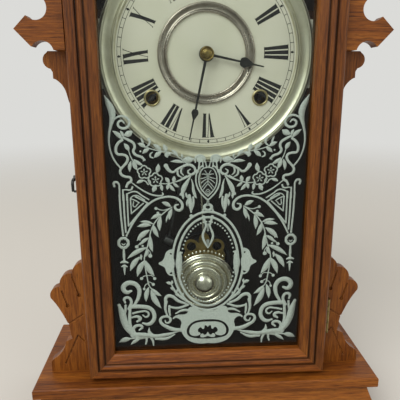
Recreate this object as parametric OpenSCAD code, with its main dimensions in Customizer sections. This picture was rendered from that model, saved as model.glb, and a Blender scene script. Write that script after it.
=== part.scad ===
// Gingerbread kitchen clock with a spring-driven striking movement.
// Millimetres. +Z is up, the dial faces -Y, and the origin is under the middle of the base.

/* [Base] */
// Width of the base's top plate
plate_w = 281; // [270:1:310]
// Depth of the base's top plate
plate_d = 102.1; // [100:0.1:112]
// Thickness of the top plate
plate_t = 9; // [7:0.5:12]
// How far the door's front lies behind the plate's front edge
plate_lip = 5.9; // [4:0.1:8]
// How far the foot of the base stands out past the plate
base_flare = 9; // [6:1:14]
// How far the top of the moulding is set back under the plate
base_set_back = 7.5; // [4:0.5:12]
// Height of the whole base
base_h = 52; // [46:1:64]
// Height of the flat band at the foot of the base
plinth_h = 12; // [8:1:16]
// Width of the base moulding under the plate
moulding_w = 17; // [12:1:22]
// Thickness of the rail that closes the base behind
back_rail_t = 12; // [8:1:18]

/* [Case] */
// Outside width of the case
case_w = 186; // [184:1:190]
// Height of the case above the base plate
case_h = 366; // [364:1:380]
// Thickness of the case sides
case_side_t = 9; // [7:0.5:10]
// Thickness of the case top
case_top_t = 10; // [8:0.5:14]
// Thickness of the back board
back_board_t = 7; // [5:0.5:9]

/* [Door] */
// How far the door stands past the case at each side
door_side = 2.95; // [2:0.05:4]
// Distance from the case's top down to the door's top edge
door_top_drop = 9.8; // [6:0.1:14]
// Gap between the door and the base plate
door_gap = 3.2; // [2:0.1:5]
// Width of the door
door_w = case_w + 2 * door_side;
// Height of the door
door_h = case_h - door_gap - door_top_drop;
// Thickness of the door frame
door_t = 18; // [16:0.5:20]
// Width of the door frame's members
door_frame_w = 20.5; // [18:0.5:23]
// Gap between the door's back and the case
door_back_gap = 1; // [0.6:0.1:1.6]
// Depth of the glass behind the door's front
glass_depth = 9.3; // [8:0.1:10]
// Thickness of the glass
glass_t = 2.5; // [2:0.1:3]
// Width of the rebate that the glass lies in
rebate_w = 4; // [3:0.5:5]

/* [Dial] */
// Distance from the case's top down to the dial's centre
dial_top_drop = 110; // [106:1:114]
// Height of the dial's centre above the base plate
dial_rise = case_h - dial_top_drop;
// Depth of the dial's face behind the door's front
dial_depth = 22.6; // [22:0.1:24]
// Thickness of the dial sheet
dial_t = 0.8; // [0.6:0.1:1.2]
// Space between the bezel and the inside of the case
bezel_room = 6; // [4:0.5:10]
// Outer radius of the bezel
bezel_r = case_w / 2 - case_side_t - bezel_room;
// Width of the bezel
bezel_w = 12; // [9:0.5:13]
// Outer radius of the raised centre ring
ring_r = 35.6; // [33:0.1:37]
// Width of the raised centre ring
ring_w = 7.1; // [5:0.1:9]
// Sideways distance of a winding hole from the centre
winding_x = 40.25; // [39.5:0.05:41]
// Distance of a winding hole below the centre
winding_drop = 30.85; // [30:0.05:31.5]
// Radius of a winding hole
winding_hole_r = 4.8; // [4.2:0.1:5.4]
// Length of the minute hand
minute_hand_len = 63; // [55:1:66]
// Length of the hour hand
hour_hand_len = 43; // [36:1:48]
// Minutes past three that the hands show
minutes_shown = 32; // [0:1:59]
// Degrees that the hour hand lags behind the true hour
hour_slip = 4; // [0:0.5:6]

/* [Crest and brackets] */
// Thickness of the crest board
crest_t = 10.5; // [9:0.5:11]
// Gap between the crest board and the door
crest_gap = 2; // [2:0.1:3]
// Height of the crest above the door's opening
crest_h = 147.8; // [130:0.1:165]
// Height of the crest above the dial's centre
crest_rise = case_h - dial_rise - door_top_drop + crest_gap + crest_h;
// How far the tip of an ear stands out past the board's inner edge
ear_w = 33.35; // [30:0.05:36]
// Half of the span between the ears' tips
ear_reach = door_w / 2 + crest_gap + ear_w;
// Thickness of the corbels
corbel_t = 20; // [14:1:26]
// Thickness of the foot brackets
bracket_t = 8; // [6:0.5:12]
// How far the foot of a bracket stands out from the case
bracket_w = 37.8; // [34:0.1:42]
// Half of the span of the foot brackets at their feet
bracket_reach = case_w / 2 + bracket_w;
// Width of an incised line
incised_w = 1.6; // [1:0.1:2]
// Depth of an incised line
incised_d = 1; // [0.6:0.1:1.6]
// Radius of a drilled dot
dot_r = 1.7; // [1.2:0.1:2.2]

/* [Hinges and latch] */
// Radius of a hinge knuckle
knuckle_r = 1.7; // [1.5:0.1:1.8]
// Radius of a hinge pin
hinge_pin_r = 0.8; // [0.6:0.05:0.9]
// Length of a hinge
hinge_len = 30; // [24:1:36]
// Depth of the hinge axis behind the door's front
hinge_depth = 7.5; // [7:0.1:8]
// Height of the upper hinge's middle above the dial's centre
upper_hinge_rise = 62; // [55:1:70]
// Height of the lower hinge's middle above the base plate
lower_hinge_rise = 51; // [41:1:61]
// Distance of the lower hinge's middle below the dial's centre
lower_hinge_drop = dial_rise - lower_hinge_rise;
// Distance of the latch pivot below the dial's centre
latch_drop = 90; // [80:1:100]
// Thickness of the latch hook
latch_t = 1.6; // [1.2:0.1:2]

/* [Movement] */
// Space between the dial's face and the movement
movement_gap = 15.4; // [15:0.1:16]
// Thickness of the movement's plates
movement_plate_t = 1.6; // [1.2:0.1:2]
// Width of the movement's plates at the bottom
movement_w = 136; // [130:1:140]
// Space between the movement's plates
plates_apart = 34.4; // [34:0.1:36]
// Thickness of a wheel
wheel_t = 1.4; // [1.1:0.1:1.6]
// Thickness of a main wheel
main_wheel_t = 2; // [1.6:0.1:2.4]
// Thickness of a mainspring's strip
spring_t = 0.9; // [0.7:0.05:1.1]
// Number of turns in a mainspring
spring_turns = 6; // [4:1:6]
// Radius of the winding arbors
winding_arbor_r = 2.5; // [2.2:0.1:2.7]
// Radius of the centre arbor
centre_arbor_r = 1.6; // [1.4:0.1:1.7]
// Running clearance round a turning arbor
running = 0.05; // [0.03:0.01:0.08]

/* [Pendulum and gong] */
// Sideways place of the pendulum's axis
pendulum_x = -1.5; // [-3:0.1:0]
// Distance of the bob's middle below the dial's centre
bob_drop = 181; // [170:1:190]
// Radius of the bob
bob_r = 25; // [20:0.5:28]
// Thickness of the bob
bob_t = 10; // [8:0.5:12]
// Radius of the pendulum rod
pendulum_rod_r = 0.9; // [0.7:0.1:1.1]
// Distance of the gong's middle below the dial's centre
gong_drop = 178; // [175:1:185]
// Radius of the gong's wire
gong_wire_r = 1.2; // [1:0.1:1.5]
// Number of loops in the gong
gong_loops = 4; // [3:1:5]
// Distance between neighbouring loops of the gong
gong_pitch = 5.6; // [4.6:0.1:6]
// Depth of the gong in front of the back board
gong_stand_off = 17; // [14:0.5:18]

/* [Hidden] */
$fn = 48;

walnut = "#8a4f2c";
brass = "#b08d4a";
steel = "#8f9296";
iron = "#2a2725";
nickel = "#c4c2b8";

base_w = plate_w + 2 * base_flare;
base_d = plate_d + base_flare;
base_top = base_h - plate_t;
back_y = base_d / 2;
plate_front = back_y - plate_d;
door_front = plate_front + plate_lip;
case_front = door_front + door_t + door_back_gap;
dial_z = base_h + dial_rise;
door_z = base_h + door_gap;
door_low = door_z - dial_z;
door_high = door_low + door_h;
case_depth = door_t + door_back_gap;
board_depth = plate_d - plate_lip - back_board_t;

// Places inside at_dial() are [x, z] from the dial's centre, with depth counted from the door's front
plate_depth = dial_depth + movement_gap;
train_depth = plate_depth + movement_plate_t;
rear_depth = train_depth + plates_apart;
pivot_end = 0.6;
pinion_l = 3;

// Wheel trains: teeth, and module in millimetres of pitch diameter per tooth
main_teeth = 72;
main_module = 0.75;
second_pinion = 12;
second_teeth = 54;
second_module = 0.65;
centre_pinion = 12;
centre_teeth = 64;
centre_module = 0.55;
third_pinion = 8;
third_teeth = 72;
third_module = 0.4;
escape_pinion = 8;
escape_teeth = 50;
escape_r = 12;
strike_teeth = 48;
strike_module = 0.6;
pin_pinion = 8;
pin_teeth = 54;
pin_module = 0.5;
fly_pinion = 8;
fly_r = 10.5;
cannon_teeth = 15;
motion_teeth = 45;
motion_pinion = 12;
hour_teeth = 48;
motion_module = 0.5;
ratchet_teeth = 20;
ratchet_r = 9.5;
arbor_r = 1.2;
thin_arbor_r = 0.9;
stud_r = 1.2;

function mesh(a, b, module_size) = (a + b) * module_size / 2;
function along(angle, distance) = distance * [cos(angle), sin(angle)];
function bearing(from, to) = atan2(to[1] - from[1], to[0] - from[0]);
// Third corner of a triangle from two corners and the distances to them, to the left of from-to
function corner(from, to, r_from, r_to) =
    let(d = norm(to - from), a = (r_from ^ 2 - r_to ^ 2 + d ^ 2) / (2 * d), h = sqrt(r_from ^ 2 - a ^ 2))
    from + along(bearing(from, to), a) + along(bearing(from, to) + 90, h);

centre = [0, 0];
time_main = [winding_x, -winding_drop];
strike_main = [-winding_x, -winding_drop];
main_reach = mesh(main_teeth, second_pinion, main_module);
time_second = corner(centre, time_main, mesh(second_teeth, centre_pinion, second_module), main_reach);
time_third = along(100, mesh(centre_teeth, third_pinion, centre_module));
third_reach = mesh(third_teeth, escape_pinion, third_module);
escape_at = [pendulum_x, time_third[1] + sqrt(third_reach ^ 2 - (pendulum_x - time_third[0]) ^ 2)];
verge_rise = 15.6;
verge_at = escape_at + [0, verge_rise];
motion_at = along(-45, mesh(cannon_teeth, motion_teeth, motion_module));
strike_second = strike_main + along(72, main_reach);
pin_at = strike_second + along(60, mesh(strike_teeth, pin_pinion, strike_module));
fly_at = pin_at + along(115, mesh(pin_teeth, fly_pinion, pin_module));
hammer_at = [-8, -52];
gong_at = [0, -gong_drop];

// Depths of the wheels
cannon_depth = plate_depth - 2.4;
hour_depth = plate_depth - 4.6;
escape_depth = plate_depth - 4;
second_depth = train_depth + 3.4;
centre_depth = train_depth + 9.4;
pin_depth = train_depth + 13.4;
third_depth = train_depth + 17.4;
main_depth = rear_depth - 5;
ratchet_depth = main_depth - 2.4;
spring_depth = train_depth + 7.4;
spring_w = ratchet_depth - 0.6 - spring_depth;
spring_inner = winding_arbor_r + 0.9;
spring_pitch = 3.2;
pillar_r = 3.2;
movement_x = movement_w / 2;
movement_top_x = movement_x - 6;
movement_low_x = movement_x - 30;
movement_low = 69;
movement_high = 52;
pillar_in = 6;
pillars = [for (x = [1, -1]) each [[x * (movement_low_x - 4), pillar_in - movement_low],
    [x * (movement_top_x - pillar_in), movement_high - pillar_in]]];
feet = [for (x = [1, -1]) each [[x * (movement_low_x - 14), pillar_in - movement_low],
    [x * (movement_top_x - 20), movement_high - 3]]];
foot_r = 4;
screw_r = 1.6;
screw_head_r = 3;
screw_grip = 5;

// Pendulum, hands and gong
pendulum_depth = plate_depth - 9;
bob_depth = pendulum_depth - pendulum_rod_r - 0.3 - bob_t;
swing_clear = 0.3;
bob_at = [pendulum_x, -bob_drop];
hour_hand_depth = dial_depth - 4.2;
minute_hand_depth = dial_depth - 7.2;
hand_t = 0.8;
hour_pipe_r = centre_arbor_r + running + 1.1;
gong_depth = board_depth - gong_stand_off;
gong_inner = 7;
gong_outer = gong_inner + gong_loops * gong_pitch;
gong_rings = 24;
gong_sides = 6;

function polar(r, a) = [r * cos(a), r * sin(a)];
function arc(mid, r, a0, a1, n = 10) = [for (i = [0:n]) mid + polar(r, a0 + (a1 - a0) * i / n)];
function bend(a, b, c, n = 8) =
    [for (i = [0:n]) let(t = i / n) (1 - t) ^ 2 * a + 2 * t * (1 - t) * b + t ^ 2 * c];

// Points of a round wire bent through a list of [x, z] places, with mitred corners
function heading(path, i) =
    let(n = len(path) - 1, a = path[max(i - 1, 0)], b = path[min(i + 1, n)], m = path[i],
        u = i == 0 ? [0, 0] : (m - a) / norm(m - a), v = i == n ? [0, 0] : (b - m) / norm(b - m))
    bearing([0, 0], u + v);
function mitre(path, i) = i == 0 || i == len(path) - 1 ? 1
    : 1 / cos(heading(path, i) - bearing(path[i - 1], path[i]));
function wire_points(path, r, sides) = [for (i = [0:len(path) - 1]) for (j = [0:sides - 1])
    let(a = 360 * j / sides, out = along(heading(path, i) - 90, r * cos(a) * mitre(path, i)))
    [path[i][0] + out[0], r * sin(a), path[i][1] + out[1]]];
function wire_faces(rings, sides) = concat(
    [for (i = [0:rings - 2]) for (j = [0:sides - 1]) let(k = (j + 1) % sides, a = i * sides)
        each [[a + j, a + sides + j, a + sides + k], [a + j, a + sides + k, a + k]]],
    [for (j = [1:sides - 2]) [0, j, j + 1]],
    [for (j = [1:sides - 2]) let(a = (rings - 1) * sides) [a, a + j + 1, a + j]]);

// Shared shapes
module wire(path, depth, r, sides) translate([0, depth, 0])
    polyhedron(wire_points(path, r, sides), wire_faces(len(path), sides));
module at_dial() translate([0, door_front, dial_z]) children();
module slab(depth, t) translate([0, depth + t, 0]) rotate([90, 0, 0]) linear_extrude(t) children();
module spindle(at, from, to, r)
    translate([at[0], to, at[1]]) rotate([90, 0, 0]) cylinder(h = to - from, r = r);
module turned(at) translate([at[0], 0, at[1]]) rotate([-90, 0, 0]) rotate_extrude($fn = 96) children();
module both() { children(); mirror([1, 0, 0]) children(); }
module disc(at, r) translate(at) circle(r);

// Teeth are plain tapered leaves with room to run
function teeth(n, size, tip, root, tip_w, root_w) = let(r = n * size / 2, step = 360 / n) [
    for (i = [0:n - 1]) each [
        polar(r - root * size, (i - root_w) * step), polar(r + tip * size, (i - tip_w) * step),
        polar(r + tip * size, (i + tip_w) * step), polar(r - root * size, (i + root_w) * step)]];
module wheel_teeth(n, size) polygon(teeth(n, size, 0.75, 1.3, 0.06, 0.2));
module pinion_leaves(n, size) polygon(teeth(n, size, 0.6, 1.4, 0.06, 0.15));
module windows(r_rim, r_hub, bar_w) difference() {
    circle(r_rim);
    circle(r_hub);
    for (a = [0, 90]) rotate(a) square([3 * r_rim, bar_w], center = true);
}
// A crossed-out wheel, turned so that a tooth points along the given bearing
module wheel(at, depth, n, size, turn, t = wheel_t, bore = 0, crossed = true)
    slab(depth, t) translate(at) rotate(turn) difference() {
    wheel_teeth(n, size);
    if (crossed) windows(n * size / 2 - 2.6 * size - 0.9, n * size * 0.18 + 1.4, 2.4);
    if (bore > 0) circle(bore);
}
// A pinion whose gap faces the given bearing
module pinion(at, depth, n, size, turn, l = pinion_l, bore = 0)
    slab(depth, l) translate(at) rotate(turn + 180 / n) difference() {
        pinion_leaves(n, size);
        if (bore > 0) circle(bore);
    }
module arbor(at, r) spindle(at, plate_depth - pivot_end, rear_depth + movement_plate_t + pivot_end, r);

// Base
foot_out = base_flare;
moulding_in = -base_set_back - moulding_w;
ease = 1.4;
cove_step = 4;
base_profile = concat(
    [[moulding_in, 0], [foot_out, 0], [foot_out, plinth_h - ease], [foot_out - ease, plinth_h],
     [foot_out - cove_step, plinth_h]],
    bend([foot_out - cove_step, plinth_h + 2], [-base_set_back + 5, base_top - 17],
        [-base_set_back, base_top]),
    [[moulding_in, base_top]]);

module base_plate() color(walnut) intersection() {
    translate([-plate_w / 2, plate_front, base_top]) rotate([90, 0, 90]) linear_extrude(plate_w)
        polygon(concat([[plate_d, 0], [plate_d, plate_t]],
            arc([ease, plate_t - ease], ease, 90, 180, 4), arc([ease, ease], ease, 180, 270, 4)));
    translate([0, back_y, base_top]) rotate([90, 0, 0]) linear_extrude(plate_d) polygon(concat(
        arc([plate_w / 2 - ease, ease], ease, -90, 0, 4),
        arc([plate_w / 2 - ease, plate_t - ease], ease, 0, 90, 4),
        arc([ease - plate_w / 2, plate_t - ease], ease, 90, 180, 4),
        arc([ease - plate_w / 2, ease], ease, 180, 270, 4)));
}
module base_front_moulding() color(walnut) intersection() {
    translate([-base_w / 2, plate_front, 0]) rotate([90, 0, 90]) linear_extrude(base_w)
        mirror([1, 0]) polygon(base_profile);
    linear_extrude(base_h) polygon([
        [-base_w / 2, plate_front - base_flare], [base_w / 2, plate_front - base_flare],
        [plate_w / 2 + moulding_in, plate_front - moulding_in],
        [-plate_w / 2 - moulding_in, plate_front - moulding_in]]);
}
module base_side_mouldings() color(walnut) both() intersection() {
    translate([plate_w / 2, back_y, 0]) rotate([90, 0, 0]) linear_extrude(base_d) polygon(base_profile);
    linear_extrude(base_h) polygon([[base_w / 2, plate_front - base_flare], [base_w / 2, back_y],
        [plate_w / 2 + moulding_in, back_y], [plate_w / 2 + moulding_in, plate_front - moulding_in]]);
}
module base_back_rail() color(walnut) translate([-plate_w / 2 - moulding_in, back_y - back_rail_t, 0])
    cube([plate_w + 2 * moulding_in, back_rail_t, base_top]);

// Case
module case_side() at_dial() translate([case_w / 2 - case_side_t, case_depth, -dial_rise])
    cube([case_side_t, board_depth - case_depth, case_h - case_top_t]);
module case_left_side() color(walnut) difference() {
    mirror([1, 0, 0]) case_side();
    latch_bore();
}
module case_right_side() color(walnut) case_side();
module case_top() color(walnut) at_dial()
    translate([-case_w / 2, case_depth, case_h - dial_rise - case_top_t])
        cube([case_w, board_depth - case_depth, case_top_t]);
module back_board() color(walnut) at_dial() difference() {
    translate([-case_w / 2, board_depth, -dial_rise]) cube([case_w, back_board_t, case_h]);
    for (at = feet) spindle(at, board_depth - 1, board_depth + screw_grip, screw_r);
}

// Crest board with its ears, corbels and foot brackets
crest_depth = case_depth - crest_t;
crest_in = door_w / 2 + crest_gap;
crest_low = door_high + crest_gap;
shoulder_x = crest_in + 8;
panel_x = crest_in - 40;
hinge_room = 0.6;
hinge_side_gap = 0.35;
hinge_x = door_w / 2 + knuckle_r + hinge_side_gap;

module incised(from, to) translate(from) rotate(bearing(from, to)) translate([0, -incised_w / 2])
    square([norm(to - from), incised_w]);

module ear_shape() translate([crest_in, 0]) difference() {
    ear_tip = ear_reach - crest_in;
    polygon([[0, 2], [16, 2], [22.8, 4.3], [ear_tip, 15.6], [ear_tip - 8.5, 24], [16, 30], [10, 38],
        [0, 40]]);
    disc([15.5, 0.2], 7.9);
    disc([18.4, 29.3], 8.1);
}
module crest_half() difference() {
    union() {
        ear_shape();
        polygon([[crest_in, 36], [crest_in + 10, 36], [crest_in + 16, 42], [shoulder_x, crest_low - 24],
            [shoulder_x, crest_low + 12], [crest_in, crest_low + 18]]);
        disc([crest_in + 5, 54], 16);
        disc([shoulder_x - 4, crest_low + 6], 12);
        polygon([[0, crest_low], [shoulder_x - 4, crest_low], [shoulder_x - 4, crest_low + 18],
            [panel_x, crest_low + 70], [panel_x, crest_rise - 48], [0, crest_rise - 40]]);
        disc([panel_x - 8, crest_rise - 56], 18);
        disc([panel_x / 2 - 3, crest_rise - 38], 22);
        disc([0, crest_rise - 27], 27);
    }
    disc([shoulder_x + 2, crest_low + 66], 46);
    disc([shoulder_x + 10, crest_low - 18], 9);
    disc([panel_x + 8, crest_rise - 82], 9);
    translate([0, -dial_rise]) square([crest_in, dial_rise + crest_low]);
}
fan = [0, crest_rise - 86];
fan_angles = [58, 74, 90, 106, 122];
module crest_lines() {
    for (a = fan_angles) incised(fan + along(a, 30), fan + along(a, 74));
    both() {
        incised([crest_in + 4, 46], [crest_in + 10, 62]);
        incised([shoulder_x - 36, crest_low + 14], [shoulder_x - 10, crest_low + 10]);
    }
}
module crest_dots() {
    for (a = fan_angles) disc(fan + along(a, 27), dot_r);
    both() {
        disc([crest_in + 3, 43], dot_r);
        disc([shoulder_x - 40, crest_low + 14], dot_r);
    }
    disc(fan, 3 * dot_r);
}
module crest_board() color(walnut) at_dial() difference() {
    slab(crest_depth, crest_t) both() crest_half();
    slab(crest_depth - 1, 1 + incised_d) crest_lines();
    slab(crest_depth - 1, 1 + 2 * incised_d) crest_dots();
    translate([crest_in - 1, crest_depth - 1, upper_hinge_rise - hinge_len / 2 - hinge_room])
        cube([hinge_x + knuckle_r + hinge_room - crest_in + 1, crest_t + 2, hinge_len + 2 * hinge_room]);
}
cleat_w = 120;
cleat_h = 40;
cleat_t = 15;
module crest_cleat() color(walnut) at_dial() translate([-cleat_w / 2, case_depth, case_h - dial_rise])
    cube([cleat_w, cleat_t, cleat_h]);

module corbel() at_dial() translate([case_w / 2, 0, 0]) slab(case_depth, corbel_t) polygon(concat(
    [[0, door_high], [shoulder_x - case_w / 2 - 2, door_high], [shoulder_x - case_w / 2 - 2, 2], [19.6, 2]],
    arc([17.5, -4.2], 6, 60, -80), [[17.2, -12.4], [17.2, -16.8]],
    bend([15.5, -17.4], [10, -21], [8.6, -27]), bend([7.5, -32], [6, -38], [0, -44])));
module left_corbel() color(walnut) mirror([1, 0, 0]) corbel();
module right_corbel() color(walnut) corbel();

// Foot bracket, drawn from the case's side and the base plate: lobes as [x, z, radius], then a waist and a foot
lobes = [[5.5, 88.5, 9.5], [16.4, 80, 9], [26.3, 69.8, 7.5]];
function mid(lobe) = [lobe[0], lobe[1]];
function notch(a, b) = corner(mid(a), mid(b), a[2], b[2]);
function lobe_arc(lobe, from, to) = [for (i = [1:10]) mid(lobe)
    + polar(lobe[2],
        bearing(mid(lobe), from) + (bearing(mid(lobe), to) - bearing(mid(lobe), from)) * i / 10)];
lobe_start = [0, lobes[0][1] + sqrt(lobes[0][2] ^ 2 - lobes[0][0] ^ 2)];
lobe_end = mid(lobes[2]) + polar(lobes[2][2], -14);
foot_tip = bracket_reach - case_w / 2;
module bracket_shape() polygon(concat([lobe_start],
    lobe_arc(lobes[0], lobe_start, notch(lobes[0], lobes[1])),
    lobe_arc(lobes[1], notch(lobes[0], lobes[1]), notch(lobes[1], lobes[2])),
    lobe_arc(lobes[2], notch(lobes[1], lobes[2]), lobe_end),
    bend([31.2, 64.6], [26, 57], [20.6, 42.5]), bend([20, 39], [20, 35], [18.8, 30.6]),
    bend([24, 28], [26, 20], [31.5, 14.6]), [[foot_tip - 1.2, 11], [foot_tip, 9], [foot_tip, 0], [0, 0]]));
module bracket_lines() {
    incised([15, 86], [10.5, 69.4]);
    incised([24.4, 74.1], [20.4, 60.3]);
    incised([23, 42.8], [8.2, 52.6]);
    incised([26, 7], [13.8, 33.8]);
    incised([13.8, 33.8], [8.3, 27.6]);
}
module bracket_dots() {
    disc([10.5, 69.4], dot_r);
    disc([20.4, 60.3], dot_r);
}
module foot_bracket() at_dial() translate([case_w / 2, 0, -dial_rise]) difference() {
    slab(case_depth, bracket_t) bracket_shape();
    slab(case_depth - 1, 1 + incised_d) bracket_lines();
    slab(case_depth - 1, 1 + 2 * incised_d) bracket_dots();
}
module left_foot_bracket() color(walnut) mirror([1, 0, 0]) foot_bracket();
module right_foot_bracket() color(walnut) foot_bracket();

// Door: one moulded section, mitred at the corners
groove = 1.4;
door_section = concat(
    [[0, door_t]], arc([2.6, 2.6], 2.6, 180, 270, 5), [[7.4, 0], [7.8, groove], [8.6, groove]],
    arc([10.7, 2.2], 2.5, 215, 325, 6), [[12.8, groove + 0.2], [13.6, groove + 0.2], [14, 0.8]],
    [[door_frame_w - 1, 3.2], [door_frame_w, 4.2], [door_frame_w, glass_depth],
     [door_frame_w - rebate_w, glass_depth], [door_frame_w - rebate_w, door_t]]);
module stile() intersection() {
    translate([-door_w / 2, 0, door_low]) linear_extrude(door_h) polygon(door_section);
    slab(-1, door_t + 2) polygon([[-door_w / 2, door_low], [-door_w / 2, door_high],
        [-door_w / 2 + door_frame_w, door_high - door_frame_w],
        [-door_w / 2 + door_frame_w, door_low + door_frame_w]]);
}
module rail() intersection() {
    translate([door_w / 2, 0, door_low]) rotate([0, -90, 0]) linear_extrude(door_w) polygon(door_section);
    slab(-1, door_t + 2) polygon([[-door_w / 2, door_low], [door_w / 2, door_low],
        [door_w / 2 - door_frame_w, door_low + door_frame_w],
        [-door_w / 2 + door_frame_w, door_low + door_frame_w]]);
}
module door_left_stile() color(walnut) at_dial() difference() {
    stile();
    latch_catch_bore();
}
module door_right_stile() color(walnut) at_dial() mirror([1, 0, 0]) stile();
module door_bottom_rail() color(walnut) at_dial() rail();
module door_top_rail() color(walnut) at_dial()
    translate([0, 0, door_low + door_high]) mirror([0, 0, 1]) rail();
pane_room = 0.2;
pane_x = door_w / 2 - door_frame_w + rebate_w - pane_room;
pane_low = door_low + door_frame_w - rebate_w + pane_room;
pane_high = door_high - door_frame_w + rebate_w - pane_room;
module door_glass() color("#cfd8d8", 0.35) at_dial() translate([-pane_x, glass_depth, pane_low])
    cube([2 * pane_x, glass_t, pane_high - pane_low]);
stop_w = rebate_w - 2 * pane_room;
stop_t = door_t - glass_depth - glass_t - 1;
module glass_stops() color(walnut) at_dial() translate([0, glass_depth + glass_t, 0]) {
    both() translate([pane_x - stop_w, 0, pane_low]) cube([stop_w, stop_t, pane_high - pane_low]);
    for (z = [pane_low, pane_high - stop_w]) translate([-pane_x + stop_w, 0, z])
        cube([2 * (pane_x - stop_w), stop_t, stop_w]);
}

// Hinges on the door's right edge
leaf_room = 0.4;
leaf_t = door_back_gap - leaf_room;
knuckle_l = hinge_len / 3;
knuckle_gap = 0.3;
hinge_rises = [upper_hinge_rise, -lower_hinge_drop];
module knuckle(z, l) translate([hinge_x, hinge_depth, z]) cylinder(h = l, r = knuckle_r);
module pin_bore(z) translate([hinge_x, hinge_depth, z - hinge_len])
    cylinder(h = 2 * hinge_len, r = hinge_pin_r + running);
module door_hinge_leaves() color(brass) at_dial() for (z = hinge_rises) difference() {
    union() {
        knuckle(z - knuckle_l / 2 + knuckle_gap, knuckle_l - 2 * knuckle_gap);
        translate([door_w / 2, hinge_depth - knuckle_r / 2, z - knuckle_l / 2 + knuckle_gap])
            cube([leaf_t, door_t - hinge_depth + knuckle_r / 2 - 1, knuckle_l - 2 * knuckle_gap]);
    }
    pin_bore(z);
}
module case_hinge_leaves() color(brass) at_dial() for (z = hinge_rises) difference() {
    union() {
        for (s = [-hinge_len / 2, knuckle_l / 2]) {
            knuckle(z + s, knuckle_l);
            translate([hinge_x + knuckle_r - leaf_t, hinge_depth, z + s])
                cube([leaf_t, case_depth - hinge_depth, knuckle_l]);
        }
        translate([case_w / 2 - case_side_t, case_depth - leaf_t, z - hinge_len / 2])
            cube([hinge_x + knuckle_r - case_w / 2 + case_side_t, leaf_t, hinge_len]);
    }
    pin_bore(z);
}
module hinge_pins() color(brass) at_dial() for (z = hinge_rises)
    translate([hinge_x, hinge_depth, z - hinge_len / 2]) cylinder(h = hinge_len, r = hinge_pin_r);

// Latch: a hook on the case's left side that drops over a pin in the door's edge
latch_pivot_depth = case_depth + 4.4;
latch_at_x = -door_w / 2 - 3;
latch_pin_r = 0.9;
latch_pin_depth = latch_pivot_depth - 7.5;
latch_pin_z = -latch_drop - 9.24;
latch_screw_r = 1;
module along_x(x0, x1, depth, z, r) translate([x0, depth, z]) rotate([0, 90, 0]) cylinder(h = x1 - x0, r = r);
module latch_bore() at_dial()
    along_x(-case_w / 2 - 1, -case_w / 2 + screw_grip, latch_pivot_depth, -latch_drop, latch_screw_r);
module latch_catch_bore()
    along_x(-door_w / 2 - 1, -door_w / 2 + screw_grip, latch_pin_depth, latch_pin_z, latch_pin_r);
module latch_pivot() color(iron) at_dial() {
    along_x(-case_w / 2, -case_w / 2 + screw_grip, latch_pivot_depth, -latch_drop, latch_screw_r);
    along_x(latch_at_x + running, -case_w / 2, latch_pivot_depth, -latch_drop, 2 * latch_screw_r);
    along_x(latch_at_x - latch_t - running, latch_at_x + running, latch_pivot_depth, -latch_drop,
        latch_screw_r);
    along_x(latch_at_x - latch_t - 1.4, latch_at_x - latch_t - running, latch_pivot_depth, -latch_drop,
        1.6 * latch_screw_r);
}
module latch_catch() color(iron) at_dial()
    along_x(latch_at_x - latch_t, -door_w / 2 + screw_grip, latch_pin_depth, latch_pin_z, latch_pin_r);
// The hook's outline is drawn as [depth, height] about its pivot
latch_outline = concat(
    arc([0, 0], 2.4, -60, 90), [[-6, 1.56]], bend([-10.2, 1.44], [-16.8, 1.2], [-15.72, -3.3], 6),
    bend([-15.6, -4.8], [-15.6, -8.04], [-14.04, -8.04], 6),
    bend([-13.74, -8.04], [-13.14, -6.6], [-13.02, -3], 6),
    bend([-12.9, -1.8], [-12.36, -0.9], [-10.8, -0.84], 4), [[-6, -0.84]]);
module latch_hook() color(iron) at_dial() translate([latch_at_x - latch_t, latch_pivot_depth, -latch_drop])
    rotate([90, 0, 90]) linear_extrude(latch_t) difference() {
        polygon(latch_outline);
        circle(latch_screw_r + running);
    }

// Dial
cleat_l = 60;
cleat_d = 10;
cleat_in = case_w / 2 - case_side_t - 12;
tab_in = cleat_in - 2;
tab_z = 18;
module dial_cleats() color(walnut) at_dial() both()
    translate([cleat_in, dial_depth + dial_t, -cleat_l / 2])
        cube([case_w / 2 - case_side_t - cleat_in, cleat_d, cleat_l]);
module dial_pan() color("#e9e4d2") at_dial() slab(dial_depth, dial_t) difference() {
    union() {
        circle(bezel_r + 1, $fn = 96);
        both() for (z = [-tab_z, tab_z]) translate([tab_in, z - 6])
            square([case_w / 2 - case_side_t - tab_in, 12]);
    }
    circle(hour_pipe_r + 0.5);
    both() disc([winding_x, -winding_drop], winding_hole_r);
}
module dial_bezel() color(nickel) at_dial() turned(centre)
    translate([bezel_r - bezel_w, dial_depth]) polygon(concat(
        [[0, 0], [0.3, -0.8]], arc([1.3, -0.9], 1, 180, 360, 6), [[3, -1]],
        bend([3.4, -1.6], [7, -1.4], [bezel_w - 3, -3.2]),
        arc([bezel_w - 1.4, -2], 1.4, 240, 360, 6), [[bezel_w, 0]]));
module dial_centre_ring() color(nickel) at_dial() turned(centre)
    translate([ring_r - ring_w, dial_depth]) polygon(concat(
        [[0, 0]], arc([0.9, -0.9], 0.9, 180, 350, 6),
        bend([2.2, -0.5], [ring_w / 2, 0.1], [ring_w - 2.4, -0.7]),
        arc([ring_w - 1.2, -0.9], 1.2, 190, 360, 6), [[ring_w, 0]]));
module winding_grommets() color(brass) at_dial() both() turned([winding_x, -winding_drop])
    translate([winding_hole_r, dial_depth])
        polygon(concat([[-0.3, 0]], arc([0.5, -0.5], 0.8, 190, 350, 6), [[1.3, 0]]));

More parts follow.
